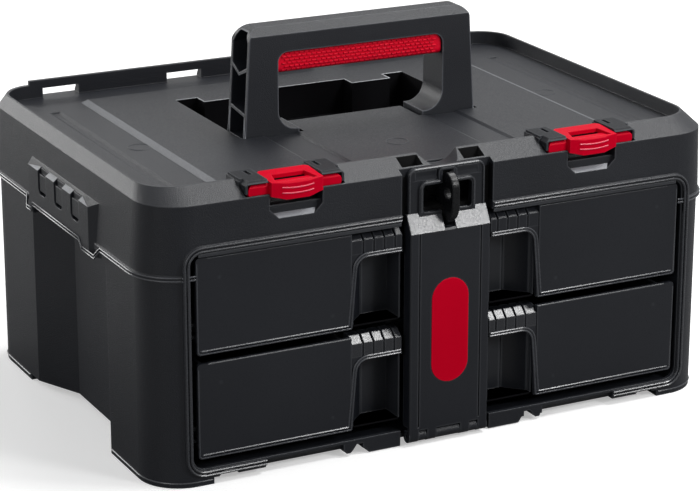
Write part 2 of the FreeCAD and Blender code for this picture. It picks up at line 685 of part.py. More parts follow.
def flap_hinge_ears(body):
    """Sets back the sill behind the flap and stands the hinge knuckles there."""
    body = body.cut(box(-CHANNEL_HALF, CHANNEL_HALF, -OVERRUN, SILL_SET_BACK, 0, SEAM_Z))
    z0, z1 = HINGE_Z - KNUCKLE_WEB, HINGE_Z + KNUCKLE_WEB
    far = SILL_SET_BACK + WALL
    for x0, x1 in ((-KNUCKLE_MID, KNUCKLE_MID), (KNUCKLE_IN, KNUCKLE_OUT), (-KNUCKLE_OUT, -KNUCKLE_IN)):
        body = body.fuse(rod(x0, x1, HINGE_BACK, HINGE_Z, KNUCKLE_R))
        body = body.fuse(box(x0, x1, HINGE_BACK, far, z0, z1))
    return body.cut(rod(-CHANNEL_HALF, CHANNEL_HALF, HINGE_BACK, HINGE_Z, HINGE_PIN_R))


def rail_screw_places():
    places = []
    for lift in (0, PITCH):
        for rib in (RIB_BACKS[0], RIB_BACKS[-1]):
            places.append((rib + RIB_THICK / 2, RAIL_SCREW_Z + lift))
    return places


def cut_rail_screws(shape):
    for back, z in rail_screw_places():
        hole = screw_rod(at(OPEN_SIDE - RAIL_WEB, back, z), X, RAIL_WEB + SMALL_SCREW_BITE, SMALL_SCREW_R)
        shape = shape.cut(pair(hole))
    return shape


def rail(lift):
    """A right-hand rail for one drawer."""
    z0 = RAIL_Z0 + lift
    top = RAIL_CHANNEL_Z1 + lift
    web = box(OPEN_SIDE - RAIL_WEB, OPEN_SIDE, RAIL_FRONT, RAIL_BACK, z0, RAIL_TOP_Z + lift)
    low = box(RAIL_IN, OPEN_SIDE, RAIL_FRONT, RAIL_BACK, z0, z0 + RAIL_FLANGE)
    high = box(RAIL_IN, OPEN_SIDE, RAIL_FRONT, RAIL_BACK, top - RAIL_FLANGE, top)
    stop_end = RUNNER_HIGH - TRAVEL - STOP_GAP
    stop = box(RAIL_IN, OPEN_SIDE, stop_end - STOP_LONG, stop_end, STOP_Z0 + lift, top)
    return one(cut_rail_screws(web.fuse(low).fuse(high).fuse(stop)))


def finger_hollow(grow, top):
    """Room for fingers behind a drawer front; its low part slopes back."""
    back = HOLLOW_BACK + grow
    low_back = HOLLOW_SLOPE_BACK + grow
    points = [(-OVERRUN, 0), (low_back, 0), (low_back, TRAY_Z0)]
    points += [(back, HOLLOW_SLOPE_Z), (back, top), (-OVERRUN, top)]
    half = HOLLOW_HALF + grow
    return side_shape(points, -half, half)


def drawer_tray(lift):
    outer = box(-TRAY_HALF, TRAY_HALF, PANEL_THICK, TRAY_BACK, TRAY_Z0, TRAY_Z1)
    outer = outer.makeFillet(TRAY_R, edges_along(outer, Z))
    outer = outer.cut(finger_hollow(0, TRAY_Z1 + OVERRUN))
    inner = box(
        -TRAY_HALF + TRAY_WALL,
        TRAY_HALF - TRAY_WALL,
        PANEL_THICK + TRAY_WALL,
        TRAY_BACK - TRAY_WALL,
        TRAY_Z0 + TRAY_WALL,
        TRAY_Z1 + OVERRUN,
    )
    inner = inner.makeFillet(TRAY_R - TRAY_WALL, edges_along(inner, Z))
    inner = inner.cut(finger_hollow(TRAY_WALL, PITCH + TRAY_Z1))
    tray = outer.cut(inner)
    near, far = TRAY_HALF - TRAY_WALL / 2, TRAY_BACK - TRAY_R
    runner = box(near, RUNNER_OUT, RUNNER_FRONT, far, RUNNER_Z0, RUNNER_Z1)
    high = box(near, RUNNER_OUT, RUNNER_HIGH, far, RUNNER_Z0, RUNNER_HIGH_Z1)
    tray = tray.fuse(pair(runner.fuse(high)))
    for x, z in front_screw_places():
        tray = tray.cut(screw_hole(x, z))
    tray = one(tray)
    tray.translate(Z * lift)
    return tray


def front_screw_places():
    return [(s * x, z) for s in (-1, 1) for x, z in zip(FRONT_SCREW_X, FRONT_SCREW_Z)]


def screw_hole(x, z):
    length = PANEL_THICK + TRAY_WALL - FRONT_SCREW_IN
    return screw_rod(at(x, FRONT_SCREW_IN, z), Y, length, SMALL_SCREW_R)


def front_screws(lift):
    made = []
    for x, z in front_screw_places():
        head = screw_rod(at(x, PANEL_THICK + TRAY_WALL, z), Y, SMALL_HEAD, SMALL_HEAD_R)
        made.append(screw_hole(x, z).fuse(head))
    group = all_of(made)
    group.translate(Z * lift)
    return group


def pocket_shape(grow, b0, b1):
    """The cut-out behind the pulling lips, seen from the front."""
    low, top = PANEL_Z0 - OVERRUN, POCKET_TOP_Z + grow
    points = [(-POCKET_HALF - grow, low), (-POCKET_TOP_HALF - grow, top)]
    points += [(POCKET_TOP_HALF + grow, top), (POCKET_HALF + grow, low)]
    pocket = front_shape(points, b0, b1)
    corners = [e for e in edges_along(pocket, Y) if e.CenterOfMass.z > PANEL_Z0]
    return pocket.makeFillet(POCKET_R + grow, corners)


def drawer_front(lift):
    panel = rounded_front(-PANEL_HALF, PANEL_HALF, PANEL_Z0, PANEL_Z1, 0, PANEL_THICK, PANEL_R)
    panel = panel.makeChamfer(PANEL_EDGE, edges_at_depth(panel, 0))
    foot = [(-OVERRUN, PANEL_Z0 - OVERRUN), (-OVERRUN, PANEL_Z0 + PANEL_FOOT), (0, PANEL_Z0 + PANEL_FOOT)]
    foot += [(PANEL_FOOT_IN, PANEL_Z0), (PANEL_FOOT_IN, PANEL_Z0 - OVERRUN)]
    panel = panel.cut(side_shape(foot, -PANEL_HALF, PANEL_HALF))
    low, high = PANEL_Z0 - OVERRUN, PANEL_Z1 + OVERRUN
    panel = panel.cut(box(-LIP_HALF_SPAN, LIP_HALF_SPAN, -OVERRUN, LIP_STEP, low, high))
    # The pulling lips: a sloping top and a thin shelf behind the panel's edge.
    slope = [(-OVERRUN, LIP_TOP_Z), (LIP_STEP, LIP_TOP_Z), (LIP_DEEP, PANEL_Z1)]
    slope += [(LIP_DEEP, high), (-OVERRUN, high)]
    shelf = [(LIP_STEP, LIP_TOP_Z), (LIP_DEEP, PANEL_Z1), (LIP_DEEP, PANEL_Z1 - LIP_UNDER * 2)]
    shelf += [(LIP_UNDER, POCKET_TOP_Z + LIP_UNDER), (LIP_UNDER, POCKET_TOP_Z), (LIP_STEP, POCKET_TOP_Z)]
    for side in (-1, 1):
        x0, x1 = sorted((side * LIP_IN, side * LIP_HALF_SPAN))
        panel = panel.cut(side_shape(slope, x0, x1))
        panel = panel.fuse(side_shape(shelf, x0, x1))
        for k in range(LIP_GROOVES):
            x = side * (LIP_IN + LIP_GROOVE_IN + LIP_GROOVE_STEP * k)
            panel = panel.cut(lip_groove(x))
    bead = pocket_shape(POCKET_BEAD, 0, PANEL_THICK)
    panel = panel.fuse(bead.common(box(-PANEL_HALF, PANEL_HALF, 0, PANEL_THICK, PANEL_Z0 + PANEL_FOOT, high)))
    panel = panel.cut(pocket_shape(0, -OVERRUN, PANEL_THICK + OVERRUN))
    panel = panel.cut(box(-LIP_IN, LIP_IN, -OVERRUN, PANEL_THICK + OVERRUN, low, high))
    z0, z1 = POCKET_TOP_Z + LIP_UNDER, PANEL_Z1 - BRIDGE_DROP
    far = BRIDGE_BACK + BRIDGE_WALL
    bridge = box(-LIP_IN - BRIDGE_WALL, LIP_IN + BRIDGE_WALL, BRIDGE_BACK, far, z0, z1)
    panel = panel.fuse(bridge).fuse(both(LIP_IN, LIP_IN + BRIDGE_WALL, LIP_DEEP - WALL, far, z0, z1))
    for x, z in front_screw_places():
        panel = panel.cut(screw_hole(x, z))
    panel = one(panel)
    panel.translate(Z * lift)
    return panel


def lip_groove(x):
    """A groove down the lip's front and over its sloping top."""
    deep = LIP_STEP + LIP_GROOVE_D
    low = POCKET_TOP_Z + POCKET_BEAD
    points = [(-OVERRUN, low), (deep, low), (deep, LIP_TOP_Z - LIP_GROOVE_D)]
    points += [(LIP_DEEP, PANEL_Z1 - LIP_GROOVE_D), (LIP_DEEP, PANEL_Z1 + OVERRUN)]
    points += [(-OVERRUN, PANEL_Z1 + OVERRUN)]
    return side_shape(points, x - LIP_GROOVE_W / 2, x + LIP_GROOVE_W / 2)


def cover_shell(inset):
    """The cover's outside, or its inside when inset by the wall."""
    low = plan_wire(LIP_HALF - inset, inset, BODY_DEPTH + LIP_OUT - inset, SEAM_Z, CORNER_R + LIP_OUT - inset)
    top = plan_wire(COVER_HALF - inset, inset, BODY_DEPTH - inset, SHOULDER_Z, CORNER_R - inset)
    return Part.makeLoft([low, top], True, True)


def lip_bead():
    """The bead along the foot of the cover's lip, sides and back."""
    out = LIP_OUT + LIP_BEAD
    bead = rounded_plan(
        BODY_HALF + out, -LIP_BEAD, BODY_DEPTH + out, SEAM_Z, SEAM_Z + LIP_BEAD_TALL, CORNER_R + out
    )
    bead = bead.makeChamfer(LIP_BEAD_EDGE, edges_at_height(bead, SEAM_Z + LIP_BEAD_TALL))
    room = rounded_plan(BODY_HALF - WALL, WALL, BODY_DEPTH - WALL, 0, RIM_Z, CORNER_R - WALL)
    side = OPEN_SIDE + FRAME_BEAD_GAP + FRAME_BEAD_WIDE / 2
    return bead.cut(room).cut(box(-side, side, -OVERRUN, RIB_FRONT, 0, RIM_Z))


def top_cover():
    body = cover_shell(0)
    foot = plan_wire(COVER_HALF, 0, BODY_DEPTH, SHOULDER_Z, CORNER_R)
    crest = plan_wire(
        COVER_HALF - RIM_SIDE, RIM_FRONT, BODY_DEPTH - RIM_SIDE, RIM_Z, RIM_INNER_R + RIM_FLAT
    )
    body = body.fuse(Part.makeLoft([foot, crest], True, True))
    across = COVER_HALF - CORNER_R
    rear = BODY_DEPTH - RIM_SIDE
    body = body.fuse(box(-across, across, rear - WALL, rear, RIM_Z, REAR_RIM_Z))
    inner = RIM_SIDE + RIM_FLAT
    tray = rounded_plan(
        COVER_HALF - inner, RIM_FRONT + RIM_FLAT, rear - WALL, LID_Z, REAR_RIM_Z + OVERRUN, RIM_INNER_R
    )
    body = body.cut(tray)
    wide = PLATEAU_HALF + PLATEAU_SLOPE
    points = [(-wide, LID_Z), (-PLATEAU_HALF, LID_TOP_Z), (PLATEAU_HALF, LID_TOP_Z), (wide, LID_Z)]
    body = body.fuse(front_shape(points, PLATEAU_FRONT, PLATEAU_BACK))
    body = lid_grooves(body)
    ceiling = box(-LIP_HALF, LIP_HALF, 0, BODY_DEPTH + LIP_OUT, 0, LID_Z - WALL)
    body = body.cut(cover_shell(WALL).common(ceiling))
    # The wall of the drawer opening, its return and the latches' blocks.
    ring = box(-OPEN_SIDE - WALL, OPEN_SIDE + WALL, 0, RIB_FRONT, SEAM_Z, FRAME_TOP_Z + WALL)
    body = body.fuse(ring.common(cover_shell(0)))
    body = body.fuse(both(BOSS_X0, BOSS_X1, WALL, BOSS_BACK, BOSS_Z0, LID_Z))
    body = body.fuse(both(BOSS_X0, BOSS_X1, LAND_FRONT, LAND_BACK, LID_Z, RIM_Z))
    body = body.fuse(lip_bead())
    over = box(-LIP_HALF, LIP_HALF, -OVERRUN, WALL, SEAM_Z, RIM_Z)
    body = body.fuse(frame_bead().common(over))
    opening = rounded_front(
        -OPEN_SIDE, OPEN_SIDE, SILL_Z, FRAME_TOP_Z, -OVERRUN, RIB_FRONT + OVERRUN, OPENING_R
    )
    body = body.cut(opening)
    body = side_pads(latch_seats(flap_channel(handle_well(body))))
    body = body.cut(pair(rim_slots()))
    body = body.fuse(corner_bosses(SEAM_Z, SEAM_Z + BOSS_TALL).common(cover_shell(0)))
    for side in (-1, 1):
        for back in COVER_SCREW_BACKS:
            body = body.cut(screw_rod(at(side * COVER_SCREW_X, back, COVER_SCREW_Z), Z, SCREW_LONG, SCREW_R))
    return one(body)


def lid_grooves(body):
    """Shallow grooves along the lid's sides and before the handle's feet."""
    run = GROOVE_SLOPE
    x0, x1, low = SIDE_GROOVE_X0, SIDE_GROOVE_X1, LID_Z - SIDE_GROOVE_DEEP
    points = [(x0, LID_Z), (x0 + run, low), (x1 - run, low), (x1, LID_Z)]
    body = body.cut(pair(front_shape(points, SIDE_GROOVE_FRONT, SIDE_GROOVE_BACK)))
    x0, x1, low = FOOT_GROOVE_X0, FOOT_GROOVE_X1, LID_TOP_Z - FOOT_GROOVE_DEEP
    points = [(x0, LID_TOP_Z), (x0 + run, low), (x1 - run, low), (x1, LID_TOP_Z)]
    return body.cut(pair(front_shape(points, PLATEAU_FRONT, FOOT_POCKET_FRONT)))


def rim_slots():
    """Slots through the rear rim, down to the lid floor."""
    near = BODY_DEPTH - RIM_SIDE - WALL - OVERRUN
    far = BODY_DEPTH + OVERRUN
    slots = box(SLOT_NEAR, SLOT_NEAR + SLOT_LONG, near, far, LID_Z, LID_Z + SLOT_TALL)
    return slots.fuse(box(SLOT_FAR, SLOT_FAR + SLOT_LONG, near, far, LID_Z, LID_Z + SLOT_TALL))


def corner_bosses(z0, z1):
    """Blocks in the four corners that take the screws of the cover."""
    out = LIP_HALF + OVERRUN
    near = COVER_SCREW_X - BOSS_R
    front = both(near, out, 0, COVER_SCREW_BACKS[0] + BOSS_R, z0, z1)
    return front.fuse(both(near, out, COVER_SCREW_BACKS[1] - BOSS_R, BODY_DEPTH + OVERRUN, z0, z1))


def handle_well(body):
    out = WELL_HALF + WALL
    shell = box(-out, out, FOOT_POCKET_FRONT - WALL, WELL_BACK + WALL, WELL_FLOOR_Z - WALL, LID_Z)
    body = body.fuse(shell)
    top = LID_TOP_Z
    well = box(-WELL_HALF, WELL_HALF, WELL_FRONT, WELL_BACK, WELL_FLOOR_Z, top)
    well = well.fuse(both(FOOT_POCKET_IN, WELL_HALF, FOOT_POCKET_FRONT, WELL_FRONT, WELL_FLOOR_Z, top))
    well = well.cut(both(TAB_IN, TAB_OUT, WELL_BACK - TAB_LONG, WELL_BACK, WELL_FLOOR_Z, top))
    body = body.cut(well)
    z0, z1 = WELL_FLOOR_Z - WALL, LID_Z - WALL
    core = box(-BLOCK_CORE, BLOCK_CORE, FOOT_POCKET_FRONT + BLOCK_WALL, WELL_FRONT - BLOCK_WALL, z0, z1)
    return body.cut(core).cut(pair(rod(PIN_IN, PIN_OUT, PIVOT_BACK, PIVOT_Z, PIN_R)))


def flap_channel(body):
    out = CHANNEL_HALF + WALL
    body = body.fuse(box(-out, out, 0, CHANNEL_BACK + WALL, FRAME_TOP_Z, LID_Z))
    body = body.cut(box(-CHANNEL_HALF, CHANNEL_HALF, -OVERRUN, CHANNEL_DEEP, 0, RIM_Z))
    half = CHANNEL_INNER_HALF
    body = body.cut(box(-half, half, -OVERRUN, CHANNEL_BACK, SHELF_Z, CHANNEL_TOP_Z))
    body = body.cut(both(CUTOUT_IN, CUTOUT_OUT, CUTOUT_FRONT, CUTOUT_BACK, LID_Z, RIM_Z + OVERRUN))
    middle = at(0, -OVERRUN, LID_Z + TROUGH_RISE + TROUGH_R)
    return body.cut(Part.makeCylinder(TROUGH_R, OVERRUN + PLATEAU_FRONT, middle, Y))


def latch_seats(body):
    arm = CAP_OUT + CAP_GAP
    wide = LATCH_BODY + LATCH_PLAY
    tail = LATCH_BACK + LATCH_TAIL + LATCH_PLAY
    top = RIM_Z + OVERRUN
    for side in (-1, 1):
        x = side * LATCH_X
        body = body.cut(rod(x - arm, x + arm, LATCH_BACK, LATCH_Z, LATCH_ARM_R + LATCH_PLAY))
        body = body.cut(rod(x - wide, x + wide, LATCH_BACK, LATCH_Z, LATCH_SWEEP))
        body = body.cut(box(x - wide, x + wide, -OVERRUN, tail, LATCH_Z + LATCH_SHOULDER, top))
        body = body.cut(box(x - wide, x + wide, tail, LAND_BACK, LID_TOP_Z, top))
        body = body.cut(box(x - arm, x + arm, -OVERRUN, LAND_FRONT, LATCH_Z - CAP_SKIRT - CAP_GAP, top))
        points = [(x - wide, LATCH_Z), (x - wide, SEAT_Z0 + SEAT_CUT), (x - wide + SEAT_CUT, SEAT_Z0)]
        points += [(x + wide - SEAT_CUT, SEAT_Z0), (x + wide, SEAT_Z0 + SEAT_CUT), (x + wide, LATCH_Z)]
        seat = front_shape(points, -OVERRUN, SEAT_DEEP)
        sill = [(-OVERRUN, SEAT_Z0 - OVERRUN), (SEAT_DEEP, SEAT_Z0 - OVERRUN)]
        sill += [(SEAT_DEEP, SEAT_Z0 + SEAT_SLOPE), (0, SEAT_Z0), (-OVERRUN, SEAT_Z0)]
        body = body.cut(seat.cut(side_shape(sill, x - wide, x + wide)))
    return body


def side_pads(body):
    """The ribbed pads on the cover's two sides, over the hand recesses."""
    plan = [(COVER_HALF - WALL, PAD_FRONT), (PAD_OUT - PAD_OVER, PAD_FRONT), (PAD_OUT, PAD_FRONT + PAD_NOSE)]
    plan += [(PAD_OUT, PAD_BACK - PAD_TAIL), (PAD_OUT - PAD_OVER, PAD_BACK), (COVER_HALF - WALL, PAD_BACK)]
    low = PAD_Z0 - PAD_TAB
    pad = plan_shape(plan, low, PAD_TOP_Z)
    slope = [(PAD_OUT, PAD_Z1), (COVER_HALF - WALL, PAD_TOP_Z), (COVER_HALF - WALL, PAD_TOP_Z + OVERRUN)]
    slope += [(PAD_OUT + OVERRUN, PAD_TOP_Z + OVERRUN), (PAD_OUT + OVERRUN, PAD_Z1)]
    pad = pad.cut(front_shape(slope, PAD_FRONT, PAD_BACK))
    reach = PAD_OUT + OVERRUN
    pad = pad.cut(box(0, reach, PAD_FRONT + PAD_TAB_FRONT, PAD_BACK - PAD_TAB_BACK, low, PAD_Z0))
    pad = pad.cut(box(0, BODY_HALF, PAD_FRONT, PAD_BACK, low, SEAM_Z))
    half = PAD_SLOT_W / 2
    for k in range(PAD_SLOT_COUNT):
        middle = PAD_FRONT + PAD_SLOT_FIRST + PAD_SLOT_STEP * k
        low = SEAM_Z + PAD_SLOT_FOOT
        cutter = box(PAD_OUT - PAD_SLOT_DEEP, reach, middle - half, middle + half, low, PAD_TOP_Z)
        foot = [e for e in edges_along(cutter, X) if e.CenterOfMass.z < PAD_Z1]
        pad = pad.cut(cutter.makeFillet(PAD_SLOT_R, foot))
    return body.fuse(pair(pad))


def handle_frame():
    top, foot = HANDLE_TOP_HALF, HANDLE_FOOT_HALF
    low = PIVOT_Z - HANDLE_R
    outline = [(-foot, low), (-foot, LEG_LEAN_Z), (-top, HANDLE_TOP_Z)]
    outline += [(top, HANDLE_TOP_Z), (foot, LEG_LEAN_Z), (foot, low)]
    b0, b1 = PIVOT_BACK - HANDLE_R, PIVOT_BACK + HANDLE_R
    frame = front_shape(outline, b0, b1)
    ends = [e for e in edges_along(frame, Y) if e.CenterOfMass.z > OPEN_TOP_Z]
    frame = frame.makeFillet(HANDLE_CORNER, ends)
    window = box(-OPEN_HALF, OPEN_HALF, b0, b1, FOOT_TOP_Z, OPEN_TOP_Z)
    middle = (FOOT_TOP_Z + OPEN_TOP_Z) / 2
    window = window.makeFillet(FOOT_FILLET, [e for e in edges_along(window, Y) if e.CenterOfMass.z < middle])
    window = window.makeFillet(OPEN_CORNER, [e for e in edges_along(window, Y) if e.CenterOfMass.z > middle])
    frame = frame.cut(window).cut(box(-FOOT_IN, FOOT_IN, b0, b1, low, FOOT_TOP_Z + OVERRUN))
    side = [(b0, HANDLE_TOP_Z - BAR_FRONT_DROP), (b0 + BAR_FRONT_RUN, HANDLE_TOP_Z)]
    side += [(b1 - BAR_BACK_RUN, HANDLE_TOP_Z), (b1, HANDLE_TOP_Z - BAR_BACK_DROP)]
    for k in range(FOOT_STEPS + 1):
        turn = math.pi * k / FOOT_STEPS
        side.append((PIVOT_BACK + HANDLE_R * math.cos(turn), PIVOT_Z - HANDLE_R * math.sin(turn)))
    frame = frame.common(side_shape(side, -foot, foot))
    frame = frame.cut(pair(handle_cavities())).cut(grip_tongue())
    hole = rod(FOOT_IN - OVERRUN, PIN_OUT + PIN_RUN, PIVOT_BACK, PIVOT_Z, PIN_R + PIN_RUN)
    return one(frame.cut(pair(hole)))


def grip_tongue():
    b0, b1 = PIVOT_BACK - TONGUE_THICK, PIVOT_BACK + TONGUE_THICK
    return box(-TONGUE_HALF, TONGUE_HALF, b0, b1, OPEN_TOP_Z, OPEN_TOP_Z + TONGUE_TALL)


def handle_cavities():
    """The right leg's hollows, open to the side."""
    w = CAVITY_WALL
    b0, b1 = PIVOT_BACK - HANDLE_R + w, PIVOT_BACK + HANDLE_R - w
    x0 = HANDLE_TOP_HALF - CAVITY_DEEP
    x1 = HANDLE_FOOT_HALF + OVERRUN
    tip = PIVOT_Z + CAVITY_HEX_RISE
    low, high = tip + CAVITY_HEX_V, tip + CAVITY_HEX_V + CAVITY_HEX_WALL
    peak = high + CAVITY_HEX_TOP
    hexagon = [(PIVOT_BACK, tip), (b1, low), (b1, high - w), (b1 - CAVITY_INSET, peak)]
    hexagon += [(b0 + CAVITY_INSET / 2, peak), (b0, high), (b0, low)]
    cut = side_shape(hexagon, x0, x1)
    web = PIVOT_Z + CAVITY_WEB_RISE
    middle = [(b0, web), (b1, web + w), (b1, low - w), (PIVOT_BACK, tip - CAVITY_WEB), (b0, low - w)]
    cut = cut.fuse(side_shape(middle, x0, x1))
    floor = PIVOT_Z + CAVITY_LOW
    lowest = [(b0, floor), (b1, floor), (b1, web + w - CAVITY_WEB), (b0, web - CAVITY_WEB)]
    return cut.fuse(side_shape(lowest, x0, x1))


def handle_grip():
    b0, b1 = PIVOT_BACK - HANDLE_R + GRIP_IN, PIVOT_BACK + HANDLE_R - GRIP_IN
    half = OPEN_HALF - GRIP_END_GAP
    bar = box(-half, half, b0, b1, GRIP_Z0, OPEN_TOP_Z)
    middle = (GRIP_Z0 + OPEN_TOP_Z) / 2
    bar = bar.makeFillet(GRIP_R, [e for e in edges_along(bar, X) if e.CenterOfMass.z < middle])
    bar = bar.makeFillet(OPEN_CORNER, [e for e in edges_along(bar, Y) if e.CenterOfMass.z > middle])
    return one(bar.fuse(grip_tongue()))


def front_flap():
    out = -FLAP_OUT
    inner = FLAP_UPPER + WALL
    upper = rounded_front(
        -FLAP_TOP_HALF, FLAP_TOP_HALF, LEDGE_TOP_Z - WALL, FLAP_TOP_Z, FLAP_UPPER, inner, FLAP_TOP_R
    )
    upper = upper.makeChamfer(FLAP_EDGE, edges_at_depth(upper, FLAP_UPPER))
    pull_top = FLAP_TOP_Z - FLAP_PULL_HEAD
    pull = [(FLAP_UPPER - OVERRUN, pull_top), (FLAP_UPPER + FLAP_PULL_DEEP, pull_top)]
    pull += [(FLAP_UPPER, pull_top - FLAP_PULL_TALL), (FLAP_UPPER - OVERRUN, pull_top - FLAP_PULL_TALL)]
    upper = upper.cut(side_shape(pull, -FLAP_TOP_HALF + FLAP_TOP_R, FLAP_TOP_HALF - FLAP_TOP_R))
    ledge = [(FLAP_UPPER, LEDGE_TOP_Z), (inner, LEDGE_TOP_Z), (inner, LEDGE_TOP_Z - WALL)]
    ledge += [(out + WALL, LEDGE_Z - WALL), (out, LEDGE_Z - WALL), (out, LEDGE_Z)]
    flap = upper.fuse(side_shape(ledge, -FLAP_HALF, FLAP_HALF))
    plate = box(-FLAP_HALF, FLAP_HALF, out, out + WALL, HINGE_Z, LEDGE_Z)
    flap = flap.fuse(plate)
    for side in (-1, 1):
        a, b = sorted((side * FLAP_HALF, side * (FLAP_HALF - SKIRT)))
        flap = flap.fuse(box(a, b, out, FLAP_BACK, SKIRT_Z0, LEDGE_Z))
        cheek = [(out, LEDGE_Z - WALL), (out, LEDGE_Z), (FLAP_UPPER, LEDGE_TOP_Z)]
        cheek += [(FLAP_BACK, LEDGE_TOP_Z), (FLAP_BACK, LEDGE_Z - WALL)]
        flap = flap.fuse(side_shape(cheek, a, b))
        g0, g1 = sorted((side * STRIP_X, side * (STRIP_X + GROOVE_W)))
        flap = flap.cut(box(g0, g1, out - OVERRUN, out + GROOVE_D, SKIRT_Z0, LEDGE_Z + OVERRUN))
        flap = flap.cut(flap_corner(side))
    ribs = window_rib().cut(box(-FLAP_HALF, FLAP_HALF, out, inner, 0, LEDGE_TOP_Z - WALL))
    flap = flap.fuse(ribs)
    window = rounded_front(
        -WINDOW_HALF, WINDOW_HALF, LEDGE_TOP_Z, WINDOW_Z1, out, inner + OVERRUN, WINDOW_R
    )
    flap = flap.cut(window)
    half = EYE_SLOT_HALF
    flap = flap.cut(box(-half, half, out - OVERRUN, inner + OVERRUN, EYE_SLOT_Z0, EYE_SLOT_Z1))
    flap = flap_knuckles(flap)
    return one(flap.cut(pill(PILL_DEEP)))


def flap_corner(side):
    """The bevel along one upright edge of the flap's main plate."""
    edge = side * FLAP_HALF
    points = [(edge - side * FLAP_EDGE, -FLAP_OUT), (edge, FLAP_EDGE - FLAP_OUT)]
    points += [(edge + side * OVERRUN, FLAP_EDGE - FLAP_OUT), (edge + side * OVERRUN, -FLAP_OUT - OVERRUN)]
    points += [(edge - side * FLAP_EDGE, -FLAP_OUT - OVERRUN)]
    return plan_shape(points, 0, LEDGE_Z)


def window_rib():
    """The raised edge round the flap's window and its slot."""
    rib = WINDOW_RIB
    front = FLAP_UPPER - WINDOW_RIB_OUT
    low = LEDGE_Z
    half = WINDOW_HALF + rib
    wide = rounded_front(-half, half, low, WINDOW_Z1 + rib, front, FLAP_UPPER, WINDOW_R + rib)
    half = EYE_SLOT_HALF + rib
    tall = rounded_front(-half, half, low, EYE_SLOT_Z1 + rib / 2, front, FLAP_UPPER, rib)
    return wide.fuse(tall)


def flap_knuckles(flap):
    """The flap's knuckles between those of the housing, on one pin."""
    bands = [(-FLAP_HALF, -KNUCKLE_OUT - KNUCKLE_GAP), (-KNUCKLE_IN + KNUCKLE_GAP, -KNUCKLE_MID - KNUCKLE_GAP)]
    bands += [(-b, -a) for a, b in bands]
    for a, b in bands:
        flap = flap.fuse(rod(a, b, HINGE_BACK, HINGE_Z, HINGE_R))
    clear = KNUCKLE_R + KNUCKLE_GAP
    gaps = [(-KNUCKLE_MID, KNUCKLE_MID), (KNUCKLE_IN, KNUCKLE_OUT), (-KNUCKLE_OUT, -KNUCKLE_IN)]
    for a, b in gaps:
        a, b = a - KNUCKLE_GAP, b + KNUCKLE_GAP
        flap = flap.cut(rod(a, b, HINGE_BACK, HINGE_Z, clear))
        flap = flap.cut(box(a, b, -FLAP_OUT - OVERRUN, FLAP_BACK + OVERRUN, 0, HINGE_Z + clear))
    return flap.cut(rod(-FLAP_HALF, FLAP_HALF, HINGE_BACK, HINGE_Z, HINGE_PIN_R + PIN_RUN))


def pill(thick):
    """The stadium on the flap's face, from its bed outwards."""
    bed = -FLAP_OUT + PILL_DEEP
    r = PILL_HALF
    shape = box(-r, r, bed - thick, bed, PILL_Z0 + r, PILL_Z1 - r)
    for z in (PILL_Z0 + r, PILL_Z1 - r):
        shape = shape.fuse(Part.makeCylinder(r, thick, at(0, bed - thick, z), Y))
    return shape


def padlock_eye():
    nose = -EYE_REACH
    points = [(EYE_TOP_BACK, EYE_TOP_Z), (nose, EYE_NOSE_Z), (nose, EYE_LOW_Z)]
    points += [(EYE_CHIN_BACK, EYE_CHIN_Z), (EYE_CHIN_IN, EYE_CHIN_Z), (EYE_HEEL_BACK, EYE_HEEL_Z)]
    points += [(CHANNEL_BACK, EYE_HEEL_Z), (CHANNEL_BACK, EYE_BASE_Z1), (EYE_HEEL_BACK, EYE_NECK_Z)]
    plate = side_shape(points, -EYE_HALF, EYE_HALF)
    half = EYE_BASE_HALF
    base = box(-half, half, CHANNEL_BACK - EYE_BASE_THICK, CHANNEL_BACK, EYE_HEEL_Z, EYE_BASE_Z1)
    eye = plate.fuse(base)
    return one(eye.cut(rod(-EYE_HALF, EYE_HALF, EYE_HOLE_BACK, EYE_HOLE_Z, EYE_HOLE_R)))


